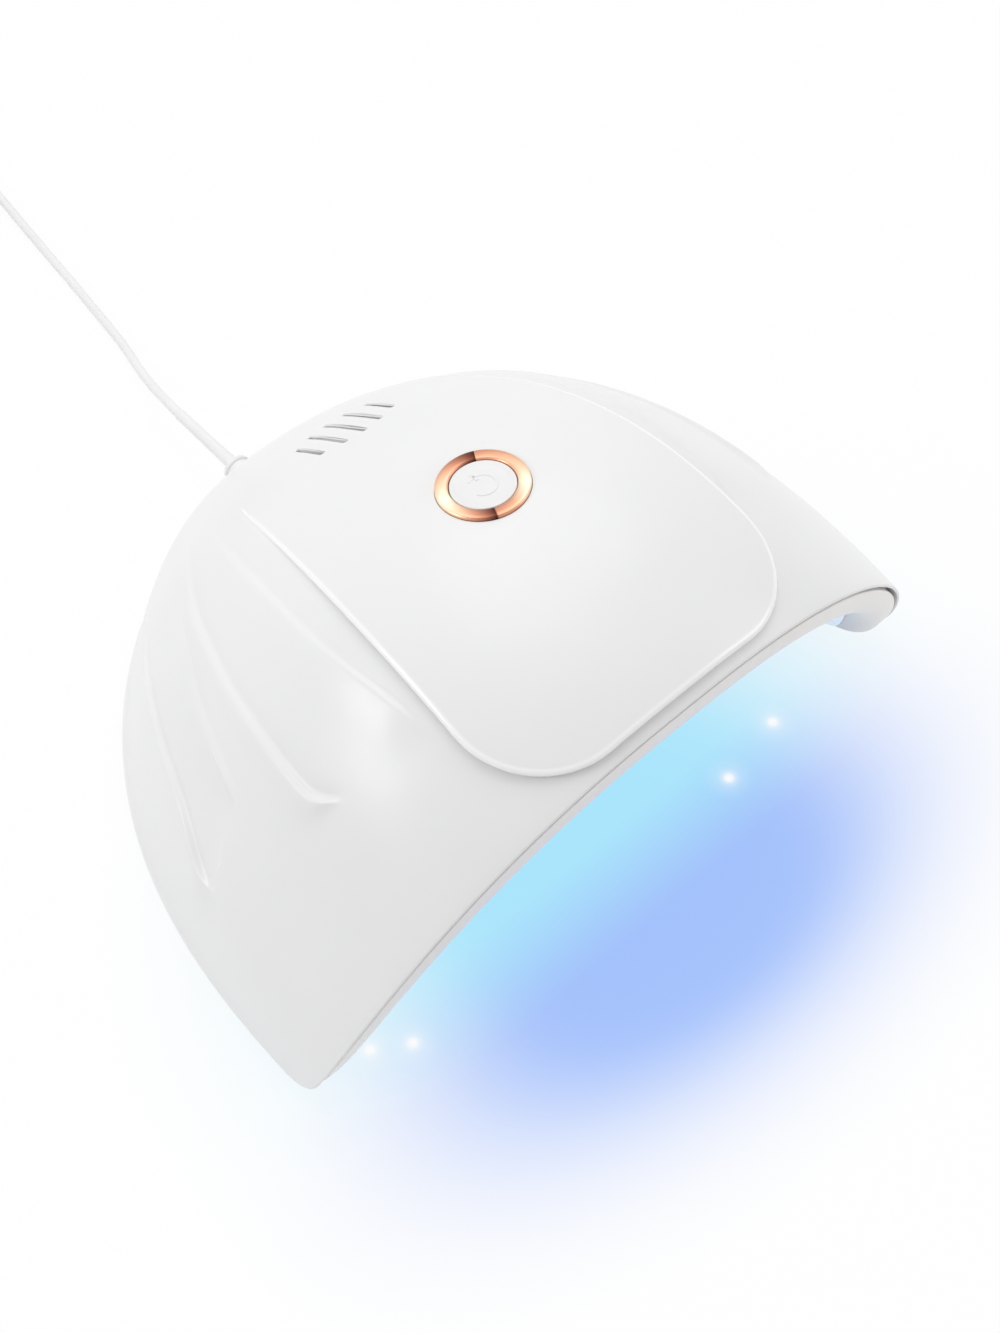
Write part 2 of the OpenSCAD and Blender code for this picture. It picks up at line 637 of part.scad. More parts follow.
// Places on the boards where a lead of two wires starts and ends
function on_plate(k, x, z) =
    let (n = board_normal(k), across = unit(cross(n, [0, 1, 0])), along = cross(across, n))
    board_point(k) + (plate_gap + z) * n + x * along;
function on_ring(v) =
    let (along = unit(cross(ring_n, [1, 0, 0])))
    ring_p + v[0] * [1, 0, 0] + v[1] * along + v[2] * ring_n;
wire_r = 0.6;
wire_z = -board_depth + 2;
module lead(path, shift, ref) {
    color("crimson") tube([for (p = path) p + shift], wire_r, 6, ref);
    color("black") tube([for (p = path) p - shift], wire_r, 6, ref);
}
module led_wires() {
    first = on_plate(0, -plate_l / 2 + 8, plate_t + 0.3);
    lead([first, first + 2 * board_normal(0), on_ring([0, -board_l / 2 - 1.8, wire_z - board_t - 4]),
        on_ring([0, -board_l / 2 + 1.5, -board_depth - board_t - wire_r - 0.25])], [0.9, 0, 0], [1, 0, 0]);
    for (side = [-1, 1]) {
        start = on_plate(side, plate_l / 2 - 6.5, plate_t + 0.3);
        n = board_normal(side);
        over = cave(house_t + 5, face_set + plate_lip);
        lead(concat([start, start + 1.5 * n],
            [for (u = [0.42, 0.34, 0.27]) point(side * u, side_s + 0.13, over)],
            [for (x = [3, -0.2]) on_ring([side * (board_w / 2 + x), 0, wire_z])]),
            [0, 0.9, 0], [0.1, 1, 0.2]);
    }
}

// It rises behind the cavity and passes beside the head of the light board's rear screw
module cord_inner_lead() {
    bend = [for (a = [0:22.5:90])
        [0, clamp_y - clamp_l / 2 - lead_bend * sin(a), exit_z + lead_bend * (1 - cos(a))]];
    back = cave(house_t + cord_r + lead_gap, face_set + plate_lip);
    aside = plate_head_r + cord_r + lead_gap;
    shares = [0.965, 0.93, 0.89, 0.84, 0.78];
    rise = [for (k = [0:4]) point(0, shares[k], back) + [aside * k / 5, 0, 0]];
    over = on_plate(0, plate_l / 2 + 3, plate_t + cord_r + lead_gap) + [aside, 0, 0];
    color("white") tube(concat([[0, relief_in, exit_z]], bend, rise, [over],
        [for (y = [4, 1.5, -1.5]) on_ring([aside, board_l / 2 + y, -board_depth - board_t - cord_r - 0.3])]),
        cord_r, 8, [1, 0, 0]);
}

module cord_clamp() {
    color("white") translate([0, clamp_y, clamp_z]) difference() {
        translate([-clamp_w / 2, -clamp_l / 2, 0]) cube([clamp_w, clamp_l, clamp_t]);
        for (side = [-1, 1]) translate([side * clamp_x, 0, -1])
            cylinder(d = small_screw_d + 0.3, h = clamp_t + 2);
    }
}

module clamp_screws() {
    color("silver") for (side = [-1, 1]) translate([side * clamp_x, clamp_y, clamp_z]) {
        translate([0, 0, -4.5]) cylinder(d = small_screw_d - 0.1, h = clamp_t + 4.5);
        translate([0, 0, clamp_t]) cylinder(d = 3.4, h = 1.2);
    }
}

module cover_screws() {
    color("silver") each_foot() translate([0, 0, base_z + floor_up + 0.05]) {
        cylinder(r = head_r, h = head_h);
        cylinder(d = screw_d, h = screw_l + 0.5);
    }
}

module rubber_feet() {
    color("gainsboro") each_foot() rotate_extrude() polygon([
        [0, 0], [pad_d / 2 - 0.4, 0], [pad_d / 2, 0.4], [pad_d / 2, foot_h], [head_r + slack, foot_h],
        [head_r + slack, foot_h + floor_up], [0, foot_h + floor_up]]);
}

module strain_relief() {
    color("white") translate([0, relief_in, exit_z]) rotate([-90, 0, 0]) rotate_extrude() polygon([
        [0, 0], [relief_flange_r, 0], [relief_flange_r, 1.6], [relief_neck_r, 1.6],
        [relief_neck_r, relief_neck_l], [relief_collar_r, relief_neck_l],
        [relief_collar_r, relief_neck_l + 1.2], [relief_tip_r, relief_y - relief_in],
        [0, relief_y - relief_in]]);
}

module cord_run() {
    color("white") tube(run_points, cord_r, 8, [0, 0, 1]);
}

module cord_coil() {
    echo(least_gap_in_coil = min(coil_gaps));
    color("white") tube(coil_points, cord_r, 6, [0, 0, 1]);
}

module cord_tail() {
    color("white") tube(tail_points, cord_r, 8, [0, 0, 1]);
}

module coil_tie() {
    bundle_w = coil_out - coil_in - coil_pitch + cord_d + 3 * tie_gap;
    bundle_h = coil_pitch + cord_d + 2 * tie_gap;
    bundle_y = coil_mid[1] - coil_in - coil_pitch / 4 + cord_r + 2 * tie_gap;
    color("gainsboro") translate([coil_mid[0], bundle_y, tie_t]) difference() {
        translate([-tie_w / 2, -bundle_w - tie_t, -tie_t])
            cube([tie_w, bundle_w + 2 * tie_t, bundle_h + 2 * tie_t]);
        translate([-tie_w, -bundle_w, 0]) cube([2 * tie_w, bundle_w, bundle_h]);
    }
}

module plug_profile(w, h, r) {
    square([w - 2 * r, h], center = true);
    square([w, h - 2 * r], center = true);
    for (x = [-1, 1], y = [-1, 1]) translate([x * (w / 2 - r), y * (h / 2 - r)]) circle(r);
}
// Children are drawn with the plug's axis along Z, from the neck to the tip
module on_plug() {
    translate([plug_x, plug_y, plug_z]) rotate([0, -90, 0]) rotate([0, 0, 90]) children();
}

module usb_grip() {
    color("white") on_plug() {
        cylinder(r1 = cord_r + 0.6, r2 = plug_h / 2 - 0.8, h = neck_l);
        translate([0, 0, neck_l]) linear_extrude(grip_l - neck_l) plug_profile(plug_w, plug_h, 2.5);
    }
}

module usb_shell() {
    color("silver") on_plug() translate([0, 0, grip_l]) difference() {
        linear_extrude(shell_l) plug_profile(shell_w, shell_h, 0.6);
        translate([0, 0, -1]) linear_extrude(shell_l + 2)
            plug_profile(shell_w - 2 * shell_t, shell_h - 2 * shell_t, 0.4);
        for (x = [-1, 1]) translate([x * 2.9 - 1.2, 0, 10]) cube([2.4, shell_h, 2]);
    }
}

module usb_tongue() {
    color("black") on_plug() translate([-shell_w / 2 + shell_t + 0.3, -shell_h / 2 + shell_t + 0.05, grip_l])
        cube([shell_w - 2 * shell_t - 0.6, 1.75, shell_l - 0.6]);
}

module usb_contacts() {
    color("gold") on_plug() for (k = [-1.5:1.5])
        translate([k * 2.3 - 0.5, -shell_h / 2 + shell_t + 1.8, grip_l]) cube([1, 0.2, shell_l - 2.5]);
}

top_cover();
inner_housing();
reflector_liner();
button_ring();
power_button();
switch_body();
switch_plunger();
control_board();
board_parts();
board_screws();
led_board_top();
led_board_left();
led_board_right();
led_chips();
led_lenses();
led_board_screws();
led_wires();
cord_inner_lead();
cord_clamp();
clamp_screws();
cover_screws();
rubber_feet();
strain_relief();
cord_run();
cord_coil();
cord_tail();
coil_tie();
usb_grip();
usb_shell();
usb_tongue();
usb_contacts();
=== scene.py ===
import json
import math
import bpy
import numpy as np
from mathutils import Matrix, Vector


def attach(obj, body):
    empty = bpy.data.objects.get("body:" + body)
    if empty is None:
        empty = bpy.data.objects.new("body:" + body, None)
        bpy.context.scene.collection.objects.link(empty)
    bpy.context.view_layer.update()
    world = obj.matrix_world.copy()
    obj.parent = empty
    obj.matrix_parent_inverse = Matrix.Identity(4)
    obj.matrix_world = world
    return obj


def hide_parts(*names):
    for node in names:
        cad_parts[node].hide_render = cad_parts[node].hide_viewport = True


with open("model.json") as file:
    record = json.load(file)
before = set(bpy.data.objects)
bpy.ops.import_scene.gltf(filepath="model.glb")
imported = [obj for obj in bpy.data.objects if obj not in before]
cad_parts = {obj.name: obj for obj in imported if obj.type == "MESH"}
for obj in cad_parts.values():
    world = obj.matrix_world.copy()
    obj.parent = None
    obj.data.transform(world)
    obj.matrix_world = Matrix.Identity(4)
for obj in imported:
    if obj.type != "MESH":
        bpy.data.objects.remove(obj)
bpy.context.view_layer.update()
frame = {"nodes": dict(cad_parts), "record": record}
nodes = frame["nodes"]
scene = bpy.context.scene
scene.view_settings.view_transform = "Standard"
mm = 0.001

cameraSet = {
    "place": (-0.1478, -0.1895, 0.3657),
    "turn": 41.41,  # degrees round Z, from straight in front towards the lamp's left
    "height": 56.5,  # degrees above the table
    "roll": 0.75,
    "lens": 51.98,
}


def placeCamera():
    turn, height, roll = (math.radians(cameraSet[key]) for key in ("turn", "height", "roll"))
    back = Vector((-math.sin(turn) * math.cos(height), -math.cos(turn) * math.cos(height), math.sin(height)))
    right = Vector((math.cos(turn), -math.sin(turn), 0))
    up = back.cross(right)
    tiltedRight = math.cos(roll) * right - math.sin(roll) * up
    tiltedUp = math.sin(roll) * right + math.cos(roll) * up
    data = bpy.data.cameras.new("studioCamera")
    data.lens = cameraSet["lens"]
    camera = bpy.data.objects.new("studioCamera", data)
    scene.collection.objects.link(camera)
    axes = Matrix((tiltedRight, tiltedUp, back)).transposed().to_4x4()
    camera.matrix_world = Matrix.Translation(cameraSet["place"]) @ axes
    scene.camera = camera


placeCamera()
print("camera placed")


def selectOnly(*objs):
    bpy.ops.object.select_all(action="DESELECT")
    for obj in objs:
        obj.select_set(True)
    bpy.context.view_layer.objects.active = objs[0]


def openMesh(obj):
    selectOnly(obj)
    bpy.ops.object.mode_set(mode="EDIT")
    bpy.ops.mesh.select_mode(type="VERT")
    bpy.ops.mesh.select_all(action="SELECT")


def closeMesh():
    bpy.ops.object.mode_set(mode="OBJECT")


def closeOutward():  # every face turned outward, then the mesh is closed
    bpy.ops.mesh.select_all(action="SELECT")
    bpy.ops.mesh.normals_make_consistent(inside=False)
    closeMesh()


def selectNone(kind):  # before the code picks edges or faces itself
    bpy.ops.object.mode_set(mode="EDIT")
    bpy.ops.mesh.select_mode(type=kind)
    bpy.ops.mesh.select_all(action="DESELECT")
    closeMesh()


def newPrimitive(maker, name, **sizes):
    bpy.ops.object.select_all(action="DESELECT")
    maker(**sizes)
    obj = bpy.context.object
    obj.name = name
    return obj


def settle(obj, matrix=None):  # a piece's place goes into its mesh
    selectOnly(obj)
    if matrix is not None:
        obj.matrix_world = matrix @ obj.matrix_world
    bpy.ops.object.transform_apply(location=True, rotation=True, scale=True)
    return obj


def addModifier(obj, kind, **settings):
    selectOnly(obj)
    modifier = obj.modifiers.new(kind.title(), kind)
    for key, value in settings.items():
        setattr(modifier, key, value)
    bpy.ops.object.modifier_apply(modifier=modifier.name)


def cut(obj, cutter, operation="DIFFERENCE"):
    addModifier(obj, "BOOLEAN", object=cutter, operation=operation, solver="EXACT")
    bpy.data.objects.remove(cutter)


def join(name, objs):
    selectOnly(*objs)
    bpy.ops.object.join()
    bpy.context.object.name = name
    return bpy.context.object


def smooth(obj, degrees=32):
    selectOnly(obj)
    bpy.ops.object.shade_smooth_by_angle(angle=math.radians(degrees))


def rod(name, radius, low, high, sides=32):  # along Z, sizes in mm
    return newPrimitive(bpy.ops.mesh.primitive_cylinder_add, name, vertices=sides, radius=radius * mm,
                        depth=(high - low) * mm, location=(0, 0, (low + high) / 2 * mm))


def box(name, size, place):  # sizes and middle in mm
    cube = newPrimitive(bpy.ops.mesh.primitive_cube_add, name, size=mm, scale=size,
                        location=tuple(Vector(place) * mm))
    return settle(cube)


def linked(name, mesh):
    obj = bpy.data.objects.new(name, mesh)
    scene.collection.objects.link(obj)
    return obj


def meshPiece(name, points, faces):  # points in mm
    mesh = bpy.data.meshes.new(name)
    mesh.from_pydata([tuple(p * mm) for p in points], [], faces)
    mesh.update()
    return linked(name, mesh)


def copiesOf(first, name, matrices):  # one piece modelled once, with a mesh of its own at each place
    copies = []
    for matrix in matrices:
        mesh = first.data.copy()
        mesh.transform(matrix)
        copies.append(linked(name, mesh))
    bpy.data.objects.remove(first)
    return join(name, copies)


def tube(name, rings):  # rings with as many points each, in mm, joined in a row and closed at both ends
    count, points = len(rings[0]), [point for ring in rings for point in ring]
    last = len(points) - count
    faces = []
    for i in range(0, last, count):
        for k in range(count):
            after = i + (k + 1) % count
            faces.append((i + k, after, after + count, i + k + count))
    faces += [tuple(range(count))[::-1], tuple(range(last, len(points)))]
    return meshPiece(name, points, faces)


def bevel(obj, width, degrees=30, steps=2):  # width in mm, on edges sharper than the angle
    addModifier(obj, "BEVEL", width=width * mm, segments=steps, limit_method="ANGLE",
                angle_limit=math.radians(degrees))


def spun(name, profile, steps=96):  # profile of (radius, height) in mm, turned round Z
    obj = newPrimitive(bpy.ops.mesh.primitive_plane_add, name, size=mm)
    openMesh(obj)
    bpy.ops.mesh.merge(type="CENTER")
    bpy.ops.transform.translate(value=(profile[0][0] * mm, 0, profile[0][1] * mm))
    for before, after in zip(profile, profile[1:]):
        step = ((after[0] - before[0]) * mm, 0, (after[1] - before[1]) * mm)
        bpy.ops.mesh.extrude_region_move(TRANSFORM_OT_translate={"value": step})
    bpy.ops.mesh.select_all(action="SELECT")
    bpy.ops.mesh.spin(steps=steps, angle=2 * math.pi, center=(0, 0, 0), axis=(0, 0, 1))
    bpy.ops.mesh.select_all(action="SELECT")
    bpy.ops.mesh.remove_doubles(threshold=2e-6)
    closeOutward()
    return obj


def frameAt(place, out, along):  # Z goes out, X near along, place in mm
    z = Vector(out).normalized()
    y = z.cross(Vector(along)).normalized()
    x = y.cross(z)
    return Matrix.Translation(Vector(place) * mm) @ Matrix((x, y, z)).transposed().to_4x4()


cordSet = {
    "width": 2.4, "gap": 0.5, "turns": 4, "steps": 24, "innerRadius": 8.4, "layZ": 2.1,
    "exit": (0, 95, 9),
    "run": [(0, 95, 9), (0, 97.5, 9), (0.4, 101, 8.4), (1.3, 106, 6.6), (2.6, 112, 4.3), (4, 118, 2.5),
            (5.4, 124, 1.6), (6.7, 131, 1.3), (8, 142, 1.3), (9.4, 155, 1.3), (10.8, 169, 1.3),
            (12.2, 183, 1.3), (13.5, 196, 1.6), (14.7, 207.5, 2.1), (15, 210.4, 2.1)],
    "tail": [(-1, -6, -0.3), (-2.4, -9.6, -0.6), (-4.7, -12.8, -0.8), (-7.7, -15.3, -0.9),
             (-11.2, -16.8, -0.9), (-14.6, -17.4, -0.9), (-17.2, -17.4, -0.9)],
    "sides": 14,
}


def cordRoute():
    run = [Vector(p) for p in cordSet["run"]]
    width, turns, steps = cordSet["width"], cordSet["turns"], cordSet["steps"]
    pitch = width + cordSet["gap"]
    outRadius = cordSet["innerRadius"] + turns * pitch
    heading = Vector((run[-1] - run[-2]).xy.to_3d()).normalized()
    middle = run[-1] + heading * width + Vector((-heading.y, heading.x, 0)) * outRadius
    start = math.atan2(-heading.x, heading.y)
    wind, climbing = turns * steps, steps // 2
    coil = []
    for k in range(2 * wind + climbing + 1):
        climb = (k - wind) / climbing
        turn = k / steps if k <= wind else max(0, (k - wind - climbing) / steps)
        bulge = 0.45 * math.sin(math.pi * climb) if 0 < climb < 1 else 0
        radius = (outRadius - turn * pitch if k <= wind else cordSet["innerRadius"] + turn * pitch) - bulge
        angle = start + 2 * math.pi * k / steps
        coil.append(Vector((middle.x + radius * math.cos(angle), middle.y + radius * math.sin(angle),
                            cordSet["layZ"] + pitch * min(max(climb, 0), 1))))
    last = coil[-1] - heading * width
    tail = [last, last - heading * width] + [last + Vector(step) for step in cordSet["tail"]]
    return run + coil + tail, middle


def roundedRoute(points, parts):  # Catmull-Rom curve through the points
    out = []
    for i in range(len(points) - 1):
        a, b, c, d = points[max(i - 1, 0)], points[i], points[i + 1], points[min(i + 2, len(points) - 1)]
        count = max(1, round((c - b).length / parts))
        for k in range(count):
            t = k / count
            out.append(0.5 * (2 * b + (c - a) * t + (2 * a - 5 * b + 4 * c - d) * t * t
                              + (3 * b - a - 3 * c + d) * t ** 3))
    return out + [points[-1]]


def sweep(name, path, radius, sides):  # a ring moved along the path and extruded at each point
    rings = []
    side = Vector((1, 0, 0))
    for i, point in enumerate(path):
        along = (path[min(i + 1, len(path) - 1)] - path[max(i - 1, 0)]).normalized()
        side = (side - side.dot(along) * along).normalized()
        other = along.cross(side)
        rings.append([point + radius * (math.cos(2 * math.pi * k / sides) * side
                                        + math.sin(2 * math.pi * k / sides) * other) for k in range(sides)])
    obj = tube(name, rings)
    smooth(obj, 50)
    return obj


cordPoints, coilMiddle = cordRoute()
cordPath = roundedRoute(cordPoints, 1.3)
lead = sweep("leadCord", cordPath, cordSet["width"] / 2, cordSet["sides"])

bodySet = {
    "width": 170, "depth": 146, "frontHeight": 71, "brow": 16, "wall": 2.4, "base": 1.5,
    "sidePower": 2.48, "topPower": 1.46, "browPower": 0.59,
    "widthPowers": (2.48, 1.62), "heightPowers": (1.2, 1.15), "rise": 1.58,
    "rim": 0.3,  # radius of the front edge's corners
    "edge": ((0.84, 0.7), (0.93, 2.1)),  # thickness of the front edge at u, thin on the arch
    "footRound": 7,
}
cavitySet = {
    "leg": 10, "roof": 10, "rearRoom": 23, "wall": 2, "lipRadius": 5, "faceBack": 0.4, "lipThick": 2,
    "lipFace": 0.1, "seam": 0.85, "liner": 0.8, "linerGap": 0.3,
    "widthPowers": (3, 2), "heightPowers": (2.6, 2.2), "rise": 0.12,
    "flange": (2.3, 1.8, 3.8),  # the base flange: where it meets the cover, its underside and its top
    "flangeGap": 0.3, "mouthTop": 6,
}
backY = bodySet["depth"] / 2
footY = -bodySet["depth"] / 2 + bodySet["brow"]
caveHalf, caveHigh = bodySet["width"] / 2 - cavitySet["leg"], bodySet["frontHeight"] - cavitySet["roof"]


def archX(u):
    return np.sign(u) * np.sin(np.radians(90 * np.abs(u))) ** (2 / bodySet["sidePower"])


def archZ(u):
    level = np.cos(np.radians(90 * np.asarray(u, float)))
    return np.where(level < 1e-9, 0, level) ** (2 / bodySet["topPower"])


def archU(x):
    share = np.abs(x) / (bodySet["width"] / 2)
    return np.sign(x) * np.degrees(np.arcsin(np.minimum(share, 1) ** (bodySet["sidePower"] / 2))) / 90


def frontY(u):
    radius = bodySet["footRound"]
    under = np.maximum(radius - bodySet["frontHeight"] * archZ(u), 0)
    rounding = radius - np.sqrt(radius ** 2 - under ** 2)
    return footY - bodySet["brow"] * archZ(u) ** bodySet["browPower"] + rounding


def skin(inset):  # form of the cover
    return dict(bodySet, half=bodySet["width"] / 2 - inset, height=bodySet["frontHeight"] - inset,
                back=backY - inset, setBack=0)


def cave(grow, setBack):  # form of the cavity
    return dict(cavitySet, half=caveHalf + grow, height=caveHigh + grow,
                back=backY - cavitySet["rearRoom"] + grow, setBack=setBack)


def bend(s, powers):
    return (1 - s ** powers[0]) ** (1 / powers[1])


def shellPoint(u, s, form):  # u runs over the arch, s from the front edge to the back
    u, s = np.broadcast_arrays(np.asarray(u, float), np.asarray(s, float))
    front = frontY(u) + form["setBack"]
    wide = bend(s, form["widthPowers"])
    high = bend(s, form["heightPowers"]) * (1 + form["rise"] * s)
    return np.stack([form["half"] * archX(u) * wide, front + (form["back"] - front) * s,
                     bodySet["base"] + form["height"] * archZ(u) * high], -1)


def unitRows(v):
    return v / np.maximum(np.linalg.norm(v, axis=-1, keepdims=True), 1e-12)


def raised(u, s, form, high):  # high over the shell, in mm
    return shellPoint(u, s, form) + np.asarray(high)[..., None] * shellNormal(u, s, form)


def endRow(u, form):  # the back end of a shell, once for each column
    return np.tile(shellPoint(0, 1, form), (len(u), 1))


def shellNormal(u, s, form):
    u, s = np.broadcast_arrays(np.asarray(u, float), np.asarray(s, float))
    e = 0.003
    s = np.minimum(s, 0.992)
    across = shellPoint(np.minimum(u + e, 1), s, form) - shellPoint(np.maximum(u - e, -1), s, form)
    back = shellPoint(u, s + e, form) - shellPoint(u, np.maximum(s - e, 0), form)
    return unitRows(np.cross(across, back))


def ramp(v, low, high):
    t = np.clip((v - low) / (high - low), 0, 1)
    return t * t * (3 - 2 * t)


def mirrored(v):
    v = np.asarray(v, float)
    return np.concatenate([-v[:0:-1], v])


def wrapShell(name, rows):  # a grid rolled round a wall: over the outside, the inside and the rim
    cols, total = len(rows[0]), len(rows) * len(rows[0])
    faces = []
    for i in range(0, total, cols):
        after = (i + cols) % total
        faces += [(i + c, i + c + 1, after + c + 1, after + c) for c in range(cols - 1)]
    obj = meshPiece(name, np.concatenate(rows), faces)
    openMesh(obj)
    bpy.ops.mesh.remove_doubles(threshold=1e-6)
    bpy.ops.mesh.delete_loose(use_verts=True, use_edges=True, use_faces=False)
    bpy.ops.mesh.select_mode(type="EDGE")
    bpy.ops.mesh.select_all(action="DESELECT")
    bpy.ops.mesh.select_non_manifold(extend=False, use_wire=False, use_boundary=True, use_multi_face=False,
                                     use_non_contiguous=False, use_verts=False)
    bpy.ops.mesh.fill(use_beauty=True)
    closeOutward()
    return obj


pleatSet = {  # each crest as (s, u) points, sizes in mm, front and back as (none, full) in s
    "high": {
        "crest": ((0.19, 0.258), (0.236, 0.265), (0.31, 0.28), (0.386, 0.292), (0.64, 0.305), (0.9, 0.312)),
        "height": 0.75, "rise": 1.6, "fall": 8, "groove": 0, "front": (0.165, 0.24), "back": (0.78, 0.5)},
    "middle": {
        "crest": ((0.2, 0.408), (0.213, 0.42), (0.226, 0.438), (0.24, 0.449), (0.3, 0.453), (0.45, 0.45),
                  (0.6, 0.435), (0.73, 0.395), (0.9, 0.36)),
        "height": 0.75, "rise": 1.7, "fall": 3.8, "groove": 0.25, "front": (0.204, 0.23), "back": (0.8, 0.6)},
    "faint": {
        "crest": ((0.3, 0.575), (0.353, 0.555), (0.43, 0.535), (0.51, 0.52), (0.586, 0.485), (0.9, 0.42)),
        "height": 0.4, "rise": 1.8, "fall": 5, "groove": 0.1, "front": (0.33, 0.38), "back": (0.72, 0.5)},
    "low": {
        "crest": ((0.28, 0.75), (0.35, 0.735), (0.41, 0.695), (0.47, 0.67), (0.586, 0.655), (0.9, 0.62)),
        "height": 0.9, "rise": 1.3, "fall": 9, "groove": 0.3, "front": (0.3, 0.35), "back": (0.82, 0.6)},
}
facetSet = {  # the pressed triangle between the faint and the low pleat: depth in mm, the rest in u and s
    "depth": 2.2, "edge": ((0.5, 0.338), (0.585, 0.338), (0.735, 0.308), (0.8, 0.3)), "wall": 0.008,
    "tail": 0.52,
}


def crestU(pleat, s):  # u of a crest at s, rounded at its corners
    line = np.array(pleat["crest"])
    return sum(np.interp(s + step, line[:, 0], line[:, 1]) for step in np.linspace(-0.018, 0.018, 7)) / 7


def facetEdge(u):
    return np.interp(np.abs(u), *np.array(facetSet["edge"]).T)


def pleatLift(u, s, form):  # height of the pleats over the plain dome, in mm
    u, s = np.broadcast_arrays(np.abs(np.asarray(u, float)), np.asarray(s, float))
    e = 0.004
    step = shellPoint(np.minimum(u + e, 1), s, form) - shellPoint(u - e, s, form)
    reach = np.linalg.norm(step, axis=-1) / (2 * e)
    lift = np.zeros_like(s)
    away = {}  # mm from each crest
    for name, pleat in pleatSet.items():
        away[name] = d = (u - crestU(pleat, s)) * reach
        slope = np.where(d < 0, ramp(d, -pleat["rise"], 0), np.exp(-(d / pleat["fall"]) ** 2))
        shape = pleat["height"] * slope
        shape -= pleat["groove"] * np.exp(-((d + pleat["rise"] + 0.5) / 0.9) ** 2)
        lift += shape * ramp(s, *pleat["front"]) * (1 - ramp(s, *pleat["back"][::-1]))
    edge = facetEdge(u)
    across = np.clip(away["faint"] / np.maximum(away["faint"] - away["low"], 1), 0, 1)
    sunk = ramp(s, edge, edge + facetSet["wall"]) * (1 - ramp(s, edge, facetSet["tail"]))
    return lift - facetSet["depth"] * sunk * ramp(away["faint"], 0.2, 3.4) * (1 - across) ** 0.8


gridSet = {
    # columns in mm from a crest, and rows in mm behind the facet's front edge
    "beside": (-2.4, -1.9, -1.55, -1.25, -1.0, -0.75, -0.5, -0.25, 0, 0.3, 0.65, 1.1, 1.7, 2.6),
    "behind": (0.3, 0.6, 0.95, 1.4, 1.9, 2.5),
    "reach": 118, "length": 98,  # mm for a whole u and a whole s
    "between": (3, 13, 6, 15), "tongue": 0.235, "foot": 0.9,
}


def rowS(share, u):  # s of a row over u; shares up to 1 reach to the facet's edge, 2 is the back
    start = bodySet["rim"] / (backY - frontY(u))
    edge = facetEdge(u)
    return start + (edge - start) * share if share <= 1 else edge + (1 - edge) * (share - 1)


def columnsOf(share):  # u of a row's columns, close together beside the crests
    closer = 1 - 0.6 * ramp(rowS(share, 0.5), 0.5, 0.9)
    beside = np.array(gridSet["beside"]) / gridSet["reach"] * closer
    cols = [np.linspace(0, gridSet["tongue"], 14)]
    for pleat, count in zip(pleatSet.values(), gridSet["between"]):
        crest = 0.5
        for _ in range(3):
            crest = crestU(pleat, rowS(share, crest))
        cols += [np.linspace(cols[-1][-1], crest + beside[0], count + 2)[1:-1], crest + beside]
    cols += [np.linspace(cols[-1][-1], gridSet["foot"], 14)[1:], np.linspace(gridSet["foot"], 1, 15)[1:]]
    return mirrored(np.sort(np.concatenate(cols)))


def edgeThick(u):
    (u0, thin), (u1, wide) = bodySet["edge"]
    return thin + (wide - thin) * ramp(np.abs(u), u0, u1)


def coverWall():
    outside, inside = skin(0), skin(bodySet["wall"])
    rim = bodySet["rim"]
    cluster = np.array(gridSet["behind"]) / gridSet["length"]
    shares = np.concatenate([np.linspace(0, 0.5, 14), np.linspace(0.5, 1, 32)[1:], 1 + cluster,
                             1 + np.linspace(cluster[-1], 0.59, 72)[1:],
                             1.59 + 0.41 * (1 - (1 - np.linspace(0, 0.985, 22)[1:]) ** 1.7)])
    rows = []  # over the outside from front to back
    for share in shares:
        u = columnsOf(share)
        s = rowS(share, u)
        rows.append(raised(u, s, outside, pleatLift(u, s, outside)))
    u = columnsOf(0)  # back along the inside
    rows += [endRow(u, outside), endRow(u, inside)]
    deep = 4 / (backY - frontY(u))
    for share in np.linspace(0, 1, 28)[:-1][::-1]:
        rows.append(shellPoint(u, deep + (0.995 - deep) * share ** 0.8, inside))
    share = (edgeThick(u) / bodySet["wall"])[:, None]  # and round the thinner front edge
    for depth in (3.4, 1.6, rim):
        s = depth / (backY - frontY(u))
        rows.append(shellPoint(u, s, outside) * (1 - share) + shellPoint(u, s, inside) * share)
    outer = shellPoint(u, 0, outside)
    inner = outer * (1 - share) + shellPoint(u, 0, inside) * share
    inward = unitRows(inner - outer)
    back = unitRows(shellPoint(u, 0.004, outside) - outer)
    for angle in np.radians((65, 45, 20, 0)):
        rows.append(inner + rim * (1 - math.cos(angle)) * back - rim * (1 - math.sin(angle)) * inward)
    for angle in np.radians((90, 65, 45, 20)):
        rows.append(outer + rim * (1 - math.sin(angle)) * back + rim * (1 - math.cos(angle)) * inward)
    return wrapShell("coverShell", rows)


tongueSet = {
    "width": 73, "radius": 19, "gap": 2.2, "height": 2, "fade": (0.15, 0.72), "backY": 112,
    "inset": 2.2,  # from the outline to where the rounded edge starts
    # edge as (distance out of the inset line, height), in mm, over the top, round and under
    "edge": ((0.9, 0), (1.3, -0.01), (1.55, -0.05), (1.78, -0.14), (1.97, -0.27), (2.11, -0.43),
             (2.18, -0.62), (2.2, -0.85), (2.18, -1.1), (2.1, -1.25), (1.9, -1.35), (1.4, -1.4),
             (0.9, -1.44), (0.75, -1.6), (0.75, -3.4)),
    "paintedHighlightLines": (2, 8),  # lines of the edge that get a painted highlight in their colour, and a stronger coat
    "sink": 0.5, "sinkFrom": (0.6, 0.76),  # how far and where its tail goes under the cover's skin
}


